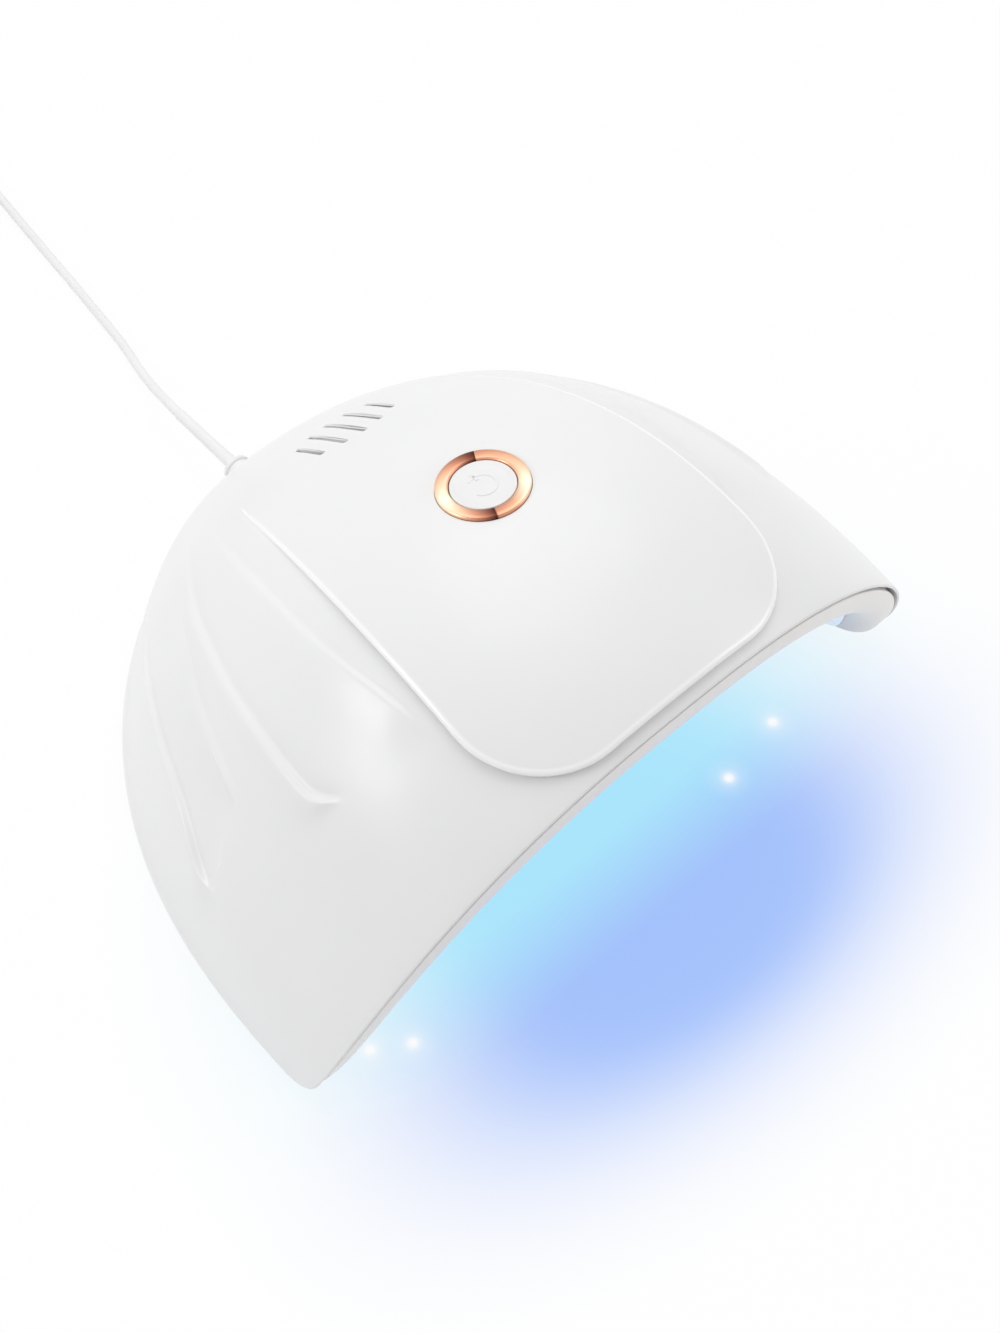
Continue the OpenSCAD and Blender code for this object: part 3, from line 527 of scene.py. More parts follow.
def tongueFrame(inset):
    half = tongueSet["width"] / 2 - inset
    radius = tongueSet["radius"] - inset
    corner = np.radians(np.linspace(0, 90, 17)[1:])
    x = np.concatenate([np.linspace(0, half - radius, 8), half - radius + radius * np.sin(corner)])
    over = np.clip(x - half + radius, 0, radius)
    y = tongueSet["gap"] + inset + radius - np.sqrt(np.maximum(radius ** 2 - over ** 2, 0))
    return x, y, np.concatenate([np.zeros(8), corner])


def onTongue(x, y, high):  # x and y in mm across and back from the front edge, high over the tongue's face
    form = skin(0)
    u = archU(x)
    length = backY - frontY(u)
    half, radius = tongueSet["width"] / 2, tongueSet["radius"]
    over = np.clip(np.abs(x) - half + radius, 0, radius)
    edge = (tongueSet["gap"] + radius - np.sqrt(radius ** 2 - over ** 2)) / length
    s = y / length
    t = (s - edge) / (1 - edge)
    lift = tongueSet["height"] * (1 - ramp(t, *tongueSet["fade"]))
    lift -= tongueSet["sink"] * ramp(t, *tongueSet["sinkFrom"])
    return raised(u, s, form, lift + high)


def tonguePlate():
    x0, y0, turn = tongueFrame(tongueSet["inset"])
    rowShares = np.linspace(0, 1, 92) ** 1.05
    cols, count = 2 * len(x0) - 1, len(rowShares)
    verts, faces = [], []

    def addGrid(x, y, high):
        first = sum(len(v) for v in verts)
        fullX, fullY = mirrored(x), np.concatenate([y[:0:-1], y])
        for share in rowShares:
            verts.append(onTongue(fullX, fullY + (tongueSet["backY"] - fullY) * share, high))
        return [[first + r * cols + c for c in range(cols)] for r in range(count)]

    top = addGrid(x0, y0, 0)
    drop, low = tongueSet["edge"][-1]
    bottom = addGrid(x0 + drop * np.sin(turn), y0 - drop * np.cos(turn), low)
    for r in range(count - 1):
        for c in range(cols - 1):
            faces.append((top[r][c], top[r][c + 1], top[r + 1][c + 1], top[r + 1][c]))
            faces.append((bottom[r][c], bottom[r + 1][c], bottom[r + 1][c + 1], bottom[r][c + 1]))
    # the way round: up the left side, along the front and down the right side
    sideY = y0[-1] + (tongueSet["backY"] - y0[-1]) * rowShares
    side, still = np.ones(count - 1), np.zeros(count - 1)
    lineX = np.concatenate([-x0[-1] * side, mirrored(x0), x0[-1] * side])
    lineY = np.concatenate([sideY[:0:-1], y0[:0:-1], y0, sideY[1:]])
    outX = np.concatenate([-side, mirrored(np.sin(turn)), side])
    outY = np.concatenate([still, -np.cos(turn)[:0:-1], -np.cos(turn), still])

    def rimOf(grid):
        return [row[0] for row in grid[:0:-1]] + grid[0] + [row[-1] for row in grid[1:]]

    loops = [rimOf(top)]
    for out, high in tongueSet["edge"][:-1]:
        first = sum(len(v) for v in verts)
        verts.append(onTongue(lineX + out * outX, lineY + out * outY, high))
        loops.append([first + i for i in range(len(lineX))])
    loops.append(rimOf(bottom))
    for upper, lower in zip(loops, loops[1:]):
        for i in range(len(upper) - 1):
            faces.append((upper[i], lower[i], lower[i + 1], upper[i + 1]))
    for c in range(cols - 1):  # back end, under the cover's skin
        faces.append((top[-1][c], top[-1][c + 1], bottom[-1][c + 1], bottom[-1][c]))
    faces.append(tuple(loop[0] for loop in loops))
    faces.append(tuple(loop[-1] for loop in loops)[::-1])
    plate = meshPiece("tonguePlate", np.concatenate(verts), faces)
    # painted highlight: a mask on the upper lines of the edge, which the cover's finish turns near white
    paintedHighlight = np.zeros(len(plate.data.vertices), dtype=np.float32)
    paintedHighlight[np.concatenate(loops[slice(*tongueSet["paintedHighlightLines"])])] = 1
    plate.data.attributes.new("paintedHighlight", "FLOAT", "POINT").data.foreach_set("value", paintedHighlight)
    openMesh(plate)
    bpy.ops.mesh.remove_doubles(threshold=1e-6)
    closeOutward()
    return plate


ringSet = {
    "middle": (0, -17.8076, 84.8871), "out": (0, 0.140955, 0.990016),
    "radius": 9.2, "bore": 6.6, "sleeve": 8.0, "seat": 1.2, "depth": 5, "proud": 0.5,
    "play": 0.05, "gap": 0.12,  # room round the sleeve, and the line that shows round the ring
}
buttonPlace = frameAt(ringSet["middle"], ringSet["out"], (1, 0, 0))
ventSet = {
    "count": 5, "pitch": 4.6, "width": 0.95, "length": 19, "back": 98.4, "bevel": 0.2,
    "shorter": 0.085,  # share of the length that the next slot loses, times its place squared
    "arc": 13,  # corners on each round end
}
reliefSet = {
    "start": 63.3, "z": 9, "hole": 3.2, "flange": 4.4, "flangeThick": 1.6, "neck": 3, "neckEnd": 8.4,
    "collar": 3.6, "collarThick": 1.2, "root": 1.7, "tip": 1.42, "end": 31.7, "rings": 0.12,
}
reliefPlace = frameAt((0, reliefSet["start"], reliefSet["z"]), (0, 1, 0), (1, 0, 0))


def onDome(x, y):  # u and s of the cover's outer skin over a place on the table, in mm
    u, s = archU(x), np.zeros_like(x)
    for _ in range(12):
        s = (y - frontY(u)) / (backY - frontY(u))
        u = archU(x / bend(s, bodySet["widthPowers"]))
    return u, s


def ventCutter(i):  # the slot that stands i pitches beside the middle one, wider where its edge is bevelled
    form = skin(0)
    rim, arc = ventSet["bevel"], ventSet["arc"]
    slope = shellNormal(0, ventSet["back"] / bodySet["depth"], form)[2]
    straight = (ventSet["length"] * (1 - ventSet["shorter"] * i * i) - ventSet["width"]) / 2
    turns = np.radians(np.concatenate([np.linspace(0, 180, arc), np.linspace(180, 360, arc)]))
    ends = np.repeat((straight, -straight), arc)
    obj = newPrimitive(bpy.ops.mesh.primitive_circle_add, "vent", vertices=2 * arc, radius=mm,
                       fill_type="NGON")
    openMesh(obj)
    for _ in range(3):
        bpy.ops.mesh.extrude_region_move(TRANSFORM_OT_translate={"value": (0, 0, mm)})
    closeMesh()
    loops = []
    for wider, high in ((0, -4.5), (0, -rim), (rim, 0.03), (rim + 0.3, 1.2)):
        r = ventSet["width"] / 2 + wider
        x = i * ventSet["pitch"] + r * np.cos(turns)
        y = -bodySet["depth"] / 2 + ventSet["back"] + (r * np.sin(turns) + ends) * slope
        u, s = onDome(x, y)
        loops.append(raised(u, s, form, high) * mm)
    for vertex in obj.data.vertices:  # layer by height, place in the loop by angle
        spot = round(math.atan2(vertex.co.y, vertex.co.x) / (2 * math.pi) * 2 * arc) % (2 * arc)
        vertex.co = loops[round(vertex.co.z / mm)][spot]
    obj.data.update()
    openMesh(obj)
    closeOutward()
    return obj


def coverCutters():
    sleeve, radius = ringSet["sleeve"] + ringSet["play"], ringSet["radius"] + ringSet["gap"]
    bore = spun("ringBore", [(0, -12), (sleeve, -12), (sleeve, -ringSet["seat"]), (radius, -ringSet["seat"]),
                             (radius, 6), (0, 6)], 72)
    settle(bore, buttonPlace)
    hole = rod("cordHole", reliefSet["hole"], -10, 20, sides=40)
    settle(hole, reliefPlace)
    middle = (ventSet["count"] - 1) / 2
    return join("coverCutters", [bore, hole] + [ventCutter(k - middle) for k in range(ventSet["count"])])


coverShell = coverWall()
# the cover's own skin gets an empty painted highlight mask
coverShell.data.attributes.new("paintedHighlight", "FLOAT", "POINT")
cut(coverShell, coverCutters())
plate = tonguePlate()
cut(plate, coverCutters())
coverShell = join("coverShell", [coverShell, plate])
smooth(coverShell, 34)
print("cover", len(coverShell.data.polygons), "faces")

wallForm = cave(cavitySet["wall"], cavitySet["faceBack"] + cavitySet["lipThick"])
ledSet = {
    "rows": 3, "pitch": 17, "span": 15, "hole": 4.2, "reach": (-12, 0.5), "gap": 1, "play": 0.1,
    "sideU": 0.52, "topBack": 52, "sideBack": 40,  # where the boards stand: round the arch, and back in mm
}


def shareAt(y, form):
    front = frontY(0) + form["setBack"]
    return (y - front) / (form["back"] - front)


def boardPlace(k):  # k is -1, 0 or 1, for the left, top and right board
    s = shareAt(-bodySet["depth"] / 2 + ledSet["sideBack" if k else "topBack"], wallForm)
    out = shellNormal(k * ledSet["sideU"], s, wallForm)
    place = shellPoint(k * ledSet["sideU"], s, wallForm) + ledSet["gap"] * out
    return frameAt(place, out, (0, 1, 0))


def ledCutters(radius):
    first = rod("ledHole", radius, *ledSet["reach"])
    settle(first)
    places = []
    for k in (-1, 0, 1):
        for i in range(ledSet["rows"]):
            for j in (-0.5, 0.5):
                shift = Vector(((i - 1) * ledSet["pitch"], j * ledSet["span"], 0)) * mm
                places.append(boardPlace(k) @ Matrix.Translation(shift))
    return copiesOf(first, "ledHoles", places)


def lipRow(u, out, back):  # a row of the lip, out of the cavity's edge and back from the front
    return np.stack([(caveHalf + out) * archX(u), frontY(u) + back,
                     bodySet["base"] + (caveHigh + out) * archZ(u)], -1)


def floorLine(form, level, low, high):  # where a shell passes a level, in mm, for s from low to high
    s = low + (high - low) * np.sin(np.radians(90 * np.arange(31) / 30))
    top = form["height"] * bend(s, form["heightPowers"]) * (1 + form["rise"] * s)
    u = np.degrees(np.arccos(np.minimum(level / top, 1) ** (bodySet["topPower"] / 2))) / 90
    return shellPoint(u, s, form)[:, :2]


def plateOf(name, line, low, high):  # flat plate inside a line on the table, sizes in mm
    line = np.concatenate([line, line[::-1] * (-1, 1)])
    obj = tube(name, [np.column_stack([line, np.full(len(line), level)]) for level in (low, high)])
    openMesh(obj)
    closeOutward()
    return obj


def archColumns(count):  # u of a row's columns, closer together towards the feet
    return mirrored(1 - (1 - np.linspace(0, 1, count)) ** 1.15)


def rowsBack(u, form, count, end=88.5):  # rows of a shell from front to back, and one at its very end
    rows = [shellPoint(u, math.sin(math.radians(end * k / (count - 1))), form) for k in range(count)]
    return rows + [endRow(u, form)]


def housingPiece():
    u = archColumns(50)
    face, radius, thick = cavitySet["lipFace"], cavitySet["lipRadius"], cavitySet["lipThick"]
    wide = cavitySet["leg"] - edgeThick(u) - cavitySet["seam"]
    rows = [lipRow(u, wide - inset, face + back)
            for inset, back in ((0, 0.35), (0.03, 0.2), (0.1, 0.1), (0.2, 0.03), (0.35, 0))]
    for angle in np.radians(np.linspace(90, 8, 12)):
        rows.append(lipRow(u, radius * (1 - math.cos(angle)), face + radius * (1 - math.sin(angle))))
    rows += rowsBack(u, cave(0, radius + face), 40) + rowsBack(u, wallForm, 16, 88)[::-1]
    rows.append(lipRow(u, wide, face + thick))
    shell = wrapShell("innerHousing", rows)
    cut(shell, ledCutters(ledSet["hole"] / 2))
    level, low, high = cavitySet["flange"]
    outline = skin(bodySet["wall"] + cavitySet["seam"] + cavitySet["flangeGap"])
    flange = plateOf("flange", floorLine(outline, level, 0.0108, 0.995), low, high)
    turns = np.radians(np.linspace(90, 20, 8))
    curve = np.column_stack([caveHalf + 0.5 + radius * (1 - np.cos(turns)),
                             footY + bodySet["footRound"] + radius * (1 - np.sin(turns))])
    inside = floorLine(cave(1, face + thick + 4), 0, 0, 0.999)
    mouth = np.concatenate([[(caveHalf + 6, footY - 5)], curve, inside])
    cut(flange, plateOf("mouth", mouth, 0, cavitySet["mouthTop"]))
    return join("innerHousing", [shell, flange])


innerHousing = housingPiece()
smooth(innerHousing, 34)
print("inner housing", len(innerHousing.data.polygons), "faces")


def linerPiece():
    u, gap = archColumns(45), cavitySet["linerGap"]
    setBack = cavitySet["lipRadius"] + cavitySet["faceBack"] + 1
    outer, inner = cave(-gap, setBack), cave(-gap - cavitySet["liner"], setBack)
    liner = wrapShell("brightLiner", rowsBack(u, outer, 31) + rowsBack(u, inner, 31)[::-1])
    cut(liner, ledCutters(ledSet["hole"] / 2 - ledSet["play"]))
    return liner


brightLiner = linerPiece()
smooth(brightLiner, 34)
print("liner", len(brightLiner.data.polygons), "faces")


def ringPiece():
    r, bore, proud, seat = ringSet["radius"], ringSet["bore"], ringSet["proud"], ringSet["seat"]
    foot = -ringSet["depth"]
    ring = spun("buttonRing", [
        (bore, foot), (ringSet["sleeve"], foot), (ringSet["sleeve"], -seat), (r, -seat),
        (r, proud - 0.42), (r - 0.05, proud - 0.2), (r - 0.16, proud - 0.07), (r - 0.34, proud),
        (r - 0.9, proud + 0.02), (bore + 0.85, proud + 0.02), (bore + 0.4, proud - 0.02),
        (bore + 0.16, proud - 0.12), (bore + 0.04, proud - 0.3), (bore, proud - 0.5), (bore, foot)], 128)
    return settle(ring, buttonPlace)


buttonRing = ringPiece()
smooth(buttonRing, 40)

capSet = {
    "radius": 6.45, "rimTop": 0.3, "dish": 0.1, "stem": 1.6, "foot": -6.5, "under": -1.2, "collar": 7.35,
    "signRadius": 2.7, "signWidth": 0.62, "signHeight": 0.2, "signBar": 2.4,
}


def capPiece():
    r, top, dish = capSet["radius"], capSet["rimTop"], capSet["dish"]
    stem, foot, under, collar = capSet["stem"], capSet["foot"], capSet["under"], capSet["collar"]
    middle = dish + 0.09
    cap = spun("powerCap", [
        (0, foot), (stem, foot), (stem, under), (r - 1.1, under), (r - 1.1, -6.1), (collar, -6.1),
        (collar, -5.1), (r, -5.1), (r, top - 0.3), (r - 0.07, top - 0.12), (r - 0.22, top - 0.02),
        (r - 0.45, top), (r - 0.75, top - 0.03), (r - 1.0, dish + 0.06), (r - 1.3, dish),
        (r - 2.5, dish + 0.03), (2, dish + 0.07), (0, middle)])
    width, high, mid = capSet["signWidth"], capSet["signHeight"], capSet["signRadius"]
    arc = newPrimitive(bpy.ops.mesh.primitive_plane_add, "signArc", size=width * mm)
    openMesh(arc)
    bpy.ops.transform.rotate(value=math.pi / 2, orient_axis="X", center_override=(0, 0, 0))
    bpy.ops.transform.resize(value=(1, 1, high / width))
    bpy.ops.transform.translate(value=(mid * mm, 0, middle * mm))
    bpy.ops.transform.rotate(value=math.radians(-128), orient_axis="Z", center_override=(0, 0, 0))
    bpy.ops.mesh.spin(steps=40, angle=math.radians(284), center=(0, 0, 0), axis=(0, 0, 1))
    closeOutward()
    sign = join("powerSign", [arc, box("signBar", (width, capSet["signBar"], high), (0, mid, middle))])
    bevel(sign, 0.08, 40)
    return settle(join("powerCap", [cap, sign]), buttonPlace)


powerCap = capPiece()
smooth(powerCap, 35)
print("button modelled")

footSet = {
    "radius": 3.0, "height": 1.5, "plug": 1.95,
    "places": ((-79.35, -44), (79.35, -44), (-40, 45.5), (40, 45.5)),
}


def footPiece():
    r, h = footSet["radius"], footSet["height"]
    plug, top = footSet["plug"], h + 0.3
    first = spun("rubberFoot", [(0, 0.12), (r - 1.1, 0.12), (r - 0.95, 0), (r - 0.45, 0), (r - 0.12, 0.12),
                                (r, 0.45), (r, h), (plug, h), (plug, top), (0, top)], 48)
    places = [Matrix.Translation((x * mm, y * mm, 0)) for x, y in footSet["places"]]
    return copiesOf(first, "rubberFeet", places)


rubberFeet = footPiece()
smooth(rubberFeet, 35)


def reliefPiece():
    flange, thick, neck, neckEnd, collar, tip, end = (
        reliefSet[key] for key in ("flange", "flangeThick", "neck", "neckEnd", "collar", "tip", "end"))
    start = neckEnd + reliefSet["collarThick"]
    profile = [(0, 0), (flange, 0), (flange, thick), (neck, thick), (neck, neckEnd), (collar - 0.2, neckEnd),
               (collar, neckEnd + 0.25), (collar - 0.25, start - 0.2)]
    for share in np.linspace(0, 1, 25):  # a smooth taper with shallow rings
        wide = tip + (reliefSet["root"] - tip) * (1 - share) ** 2.2
        ring = reliefSet["rings"] * (1 - share) * math.sin(8 * math.pi * share) ** 2
        profile.append((wide - ring, start + (end - 0.3 - start) * share))
    profile += [(tip - 0.12, end - 0.08), (tip - 0.3, end), (0, end)]
    return settle(spun("cordRelief", profile, 48), reliefPlace)


cordRelief = reliefPiece()
smooth(cordRelief, 35)

plugSet = {
    "place": (-41.988, 197.116, 4.1), "width": 15.6, "height": 8, "grip": 22, "neck": 6, "bevel": 1.9,
    "ribs": 6, "ribPitch": 1.6, "rib": (0.5, 3.8, 0.7), "ribBevel": 0.15,
    # rings of the neck as (radius, height)
    "collar": ((0, 0), (1.6, 0), (1.8, 0.2), (2.1, 1.4), (1.8, 1.6), (1.8, 2.1), (2.3, 2.3), (2.6, 3.4),
               (2.2, 3.6), (2.2, 4.1), (2.8, 4.3), (3.2, 6.2), (3.2, 8), (0, 8)),
}


def gripPiece():
    width, height, grip, neck = (plugSet[key] for key in ("width", "height", "grip", "neck"))
    body = box("plugGrip", (width, height, grip - neck), (0, 0, (grip + neck) / 2))
    bevel(body, plugSet["bevel"], steps=5)
    collar = spun("plugNeck", plugSet["collar"], 40)
    settle(collar)
    rib = box("gripRib", plugSet["rib"], (0, 0, neck + 4))
    bevel(rib, plugSet["ribBevel"])
    places = [Matrix.Translation((side * (width / 2 - 0.1) * mm, 0, plugSet["ribPitch"] * k * mm))
              for side in (-1, 1) for k in range(plugSet["ribs"])]
    piece = join("plugGrip", [body, collar, copiesOf(rib, "gripRibs", places)])
    turn = Matrix.Rotation(math.radians(-90), 4, "Y") @ Matrix.Rotation(math.radians(90), 4, "Z")
    return settle(piece, Matrix.Translation(Vector(plugSet["place"]) * mm) @ turn)


plugGrip = gripPiece()
smooth(plugGrip, 35)

tieSet = {"width": 4, "thick": 0.6, "gap": 0.3, "round": 2.2}


def tiePiece():
    pitch = cordSet["width"] + cordSet["gap"]
    deep = cordSet["turns"] * pitch - pitch + cordSet["width"] + 3 * tieSet["gap"]
    high = pitch + cordSet["width"] + 2 * tieSet["gap"]
    y = coilMiddle.y - cordSet["innerRadius"] - pitch / 4 + cordSet["width"] / 2 + 2 * tieSet["gap"]
    thick = tieSet["thick"]
    band = box("coilTie", (tieSet["width"], deep + 2 * thick, high + 2 * thick),
               (coilMiddle.x, y - deep / 2, thick + high / 2))
    selectNone("EDGE")
    for edge in band.data.edges:  # the four long edges of the band
        a, b = (band.data.vertices[i].co for i in edge.vertices)
        edge.select = abs(a.x - b.x) > 1e-4
    bpy.ops.object.mode_set(mode="EDIT")
    bpy.ops.mesh.bevel(offset=tieSet["round"] * mm, segments=6)
    closeMesh()
    selectNone("FACE")
    for face in band.data.polygons:  # its two ends, opened into one hole
        face.select = abs(face.normal.x) > 0.9
    bpy.ops.object.mode_set(mode="EDIT")
    bpy.ops.mesh.inset(thickness=thick * mm)
    bpy.ops.mesh.bridge_edge_loops()
    closeOutward()
    bevel(band, 0.15, 50)
    return band


coilTie = tiePiece()
smooth(coilTie, 35)
print("cord pieces modelled")


def fill(tree, node, values):  # sets a node's properties, and sets or links its sockets by name or number
    for key, value in values.items():
        if key in node.bl_rna.properties:
            setattr(node, key, value)
            continue
        socket = node.inputs[int(key[1:]) if key[0] == "i" else key]
        if isinstance(value, bpy.types.NodeSocket):
            tree.links.new(value, socket)
        else:
            socket.default_value = value


def wire(tree, kind, **values):
    node = tree.nodes.new(kind)
    fill(tree, node, values)
    return node.outputs


def coordinates(tree, kind="Object"):
    return wire(tree, "ShaderNodeTexCoord")[kind]


def maths(tree, operation, *values):
    return wire(tree, "ShaderNodeMath", operation=operation, **{f"i{k}": v for k, v in enumerate(values)})[0]


def lengthOf(tree, vector):
    return wire(tree, "ShaderNodeVectorMath", operation="LENGTH", i0=vector)["Value"]


def mapped(tree, value, low, high, start=0.0, end=1.0, **more):  # low to high becomes start to end
    return wire(tree, "ShaderNodeMapRange", i0=value, i1=low, i2=high, i3=start, i4=end, **more)[0]


def mixed(tree, share, before, after):
    return wire(tree, "ShaderNodeMix", data_type="RGBA", i0=share, i6=before, i7=after)["Result"]


def rampOf(tree, value, stops, ease="LINEAR"):  # stops as (spot, colour or grey)
    node = tree.nodes.new("ShaderNodeValToRGB")
    fill(tree, node, {"Fac": value})
    node.color_ramp.interpolation = ease
    for spot, _ in stops[2:]:
        node.color_ramp.elements.new(spot)
    for element, (spot, color) in zip(node.color_ramp.elements, stops):
        element.position = spot
        element.color = (*color, 1) if isinstance(color, tuple) else (color, color, color, 1)
    return node.outputs["Color"]


def bumpOf(tree, height, deep, strength=1.0):  # deep in mm
    return wire(tree, "ShaderNodeBump", Height=height, Strength=strength, Distance=deep * mm)["Normal"]


def seenShare(tree):  # 1 for what the camera sees, straight, mirrored or through something clear
    path = wire(tree, "ShaderNodeLightPath")
    seen = maths(tree, "MAXIMUM", path["Is Camera Ray"], path["Is Glossy Ray"])
    return maths(tree, "MAXIMUM", seen, path["Is Transmission Ray"])


def newMaterial(name):
    material = bpy.data.materials.new(name)
    material.use_nodes = True
    tree = material.node_tree
    return material, tree, tree.nodes["Principled BSDF"]


def mouldGrainGroup():  # slow tone and fine grain of a moulded surface
    tree = bpy.data.node_groups.new("mouldGrain", "ShaderNodeTree")
    for label, default in (("Scale", 60), ("Fine", 12)):
        socket = tree.interface.new_socket(name=label, in_out="INPUT", socket_type="NodeSocketFloat")
        socket.default_value = default
    for label in ("Tone", "Grain"):
        tree.interface.new_socket(name=label, in_out="OUTPUT", socket_type="NodeSocketFloat")
    given, result = wire(tree, "NodeGroupInput"), tree.nodes.new("NodeGroupOutput")
    place = coordinates(tree)
    finer = maths(tree, "MULTIPLY", given["Scale"], given["Fine"])
    slow = wire(tree, "ShaderNodeTexNoise", Vector=place, Scale=given["Scale"], Detail=3.0, Roughness=0.5)
    fine = wire(tree, "ShaderNodeTexNoise", Vector=place, Scale=finer, Detail=2.0, Roughness=0.6)
    fill(tree, result, {"Tone": slow["Fac"], "Grain": fine["Fac"]})
    return tree


mouldGrain = mouldGrainGroup()
noiseSpan = (0.3, 0.7)  # where most values of a noise lie


def grainOf(tree, scale, fine):
    return wire(tree, "ShaderNodeGroup", node_tree=mouldGrain, Scale=scale, Fine=fine)


usual = {  # roughness and its spread, pattern scale and fineness, height of the grain in mm, metal and coat
    "rough": 0.4, "spread": 0.05, "scale": 250, "fine": 8, "grain": 0.01, "metal": 0, "coat": 0, "coatRough": 0.03,
}
finishes = {  # the colour's two tones, and what isn't as usual
    "cover_plastic": {
        # its near-white colour at the end is a painted highlight along the tongue's edge
        "tones": ((0.86, 0.86, 0.865), (0.89, 0.89, 0.892)), "rough": 0.33, "spread": 0.03, "scale": 22,
        "fine": 30, "grain": 0.002, "coat": 0.06, "coatRough": 0.1, "paintedHighlight": (0.99, 0.99, 0.99, 1)},
    "housing_plastic": {
        "tones": ((0.97, 0.94, 0.91), (0.98, 0.955, 0.93)), "rough": 0.36, "scale": 40, "fine": 25},
    "cap_plastic": {
        "tones": ((0.84, 0.835, 0.835), (0.88, 0.875, 0.875)), "rough": 0.34, "spread": 0.04, "scale": 90,
        "fine": 20, "grain": 0.006},
    "cord_jacket": {
        "tones": ((0.86, 0.86, 0.865), (0.89, 0.89, 0.892)), "rough": 0.42, "scale": 50, "fine": 18,
        "grain": 0.004},
    "switch_plastic": {
        "tones": ((0.03, 0.03, 0.032), (0.06, 0.06, 0.065)), "rough": 0.5, "spread": 0.08, "scale": 200,
        "fine": 12},
    "plunger_plastic": {"tones": ((0.55, 0.10, 0.07), (0.65, 0.14, 0.09)), "scale": 300, "grain": 0.005},
    "board_laminate": {
        "tones": ((0.01, 0.12, 0.045), (0.02, 0.17, 0.065)), "rough": 0.3, "spread": 0.06, "fine": 4,
        "coat": 0.3, "coatRough": 0.15},
    "component_body": {
        "tones": ((0.05, 0.05, 0.055), (0.09, 0.09, 0.1)), "rough": 0.5, "spread": 0.1, "scale": 180,
        "fine": 10, "grain": 0.02},
    "screw_steel": {
        "tones": ((0.5, 0.5, 0.52), (0.66, 0.66, 0.68)), "rough": 0.3, "spread": 0.08, "scale": 400,
        "grain": 0.006, "metal": 1},
    "led_laminate": {
        "tones": ((0.78, 0.79, 0.79), (0.84, 0.85, 0.85)), "rough": 0.38, "spread": 0.06, "fine": 6},
    "chip_body": {
        "tones": ((0.75, 0.68, 0.38), (0.85, 0.78, 0.5)), "rough": 0.45, "spread": 0.08, "scale": 500,
        "fine": 6},
    "wire_cover": {
        "tones": ((0.40, 0.02, 0.02), (0.5, 0.04, 0.035)), "rough": 0.45, "spread": 0.06, "scale": 300},
    "foot_rubber": {
        "tones": ((0.26, 0.26, 0.27), (0.34, 0.34, 0.35)), "rough": 0.75, "spread": 0.1, "fine": 12,
        "grain": 0.03},
    "tie_plastic": {
        "tones": ((0.6, 0.6, 0.61), (0.68, 0.68, 0.69)), "spread": 0.06, "scale": 120, "fine": 10,
        "grain": 0.02},
    "plug_steel": {
        "tones": ((0.68, 0.68, 0.7), (0.76, 0.76, 0.78)), "rough": 0.2, "scale": 150, "fine": 20,
        "grain": 0.003, "metal": 1},
    "plug_insulator": {"tones": ((0.82, 0.82, 0.82), (0.87, 0.87, 0.87)), "rough": 0.5, "scale": 200},
    "contact_metal": {
        "tones": ((0.72, 0.5, 0.18), (0.85, 0.64, 0.28)), "rough": 0.25, "scale": 300, "grain": 0.003,
        "metal": 1},
}


def plainFinish(name, own):
    look = {**usual, **own}
    material, tree, shader = newMaterial(name)
    grain = grainOf(tree, look["scale"], look["fine"])
    tone = rampOf(tree, grain["Tone"], tuple(zip(noiseSpan, look["tones"])))
    coat, rough, spread = look["coat"], look["rough"], look["spread"]
    if "paintedHighlight" in look:  # painted highlight: the marked edges turn near white, and get a stronger coat
        edge = wire(tree, "ShaderNodeAttribute", attribute_name="paintedHighlight")["Fac"]
        coat = mapped(tree, edge, 0.0, 1.0, coat)
        tone = mixed(tree, edge, tone, look["paintedHighlight"])
    fill(tree, shader, {
        "Base Color": tone, "Normal": bumpOf(tree, grain["Grain"], look["grain"]), "Metallic": look["metal"],
        "Roughness": mapped(tree, grain["Grain"], *noiseSpan, rough - spread, rough + spread),
        "Coat Weight": coat, "Coat Roughness": look["coatRough"]})
    return material


materials = {slot: plainFinish(slot, own) for slot, own in finishes.items()}

ringFinish = {
    "start": 60,  # degrees to where the painted sheen's colours begin
    # painted sheen: dark brown to pale gold round the ring, standing in for the reflections of spun metal
    "paintedSheen": ((0.0, (0.06, 0.018, 0.012)), (0.03, (0.2, 0.07, 0.045)), (0.1, (0.6, 0.27, 0.17)),
              (0.22, (0.95, 0.62, 0.42)), (0.295, (1.0, 0.92, 0.72)), (0.36, (0.95, 0.62, 0.42)),
              (0.44, (0.6, 0.28, 0.18)), (0.49, (0.25, 0.09, 0.06)), (0.516, (0.06, 0.018, 0.012)),
              (0.521, (0.6, 0.28, 0.18)), (0.6, (0.72, 0.38, 0.24)), (0.717, (1.0, 0.86, 0.66)),
              (0.8, (0.9, 0.55, 0.36)), (0.9, (0.72, 0.38, 0.24)), (1.0, (0.62, 0.30, 0.19))),
    "rough": (0.26, 0.34), "scale": 120, "fine": 10,
    "lathe": 9000, "groove": 0.003, "grooves": 0.5,  # scale, depth in mm and strength of the turned lines
}


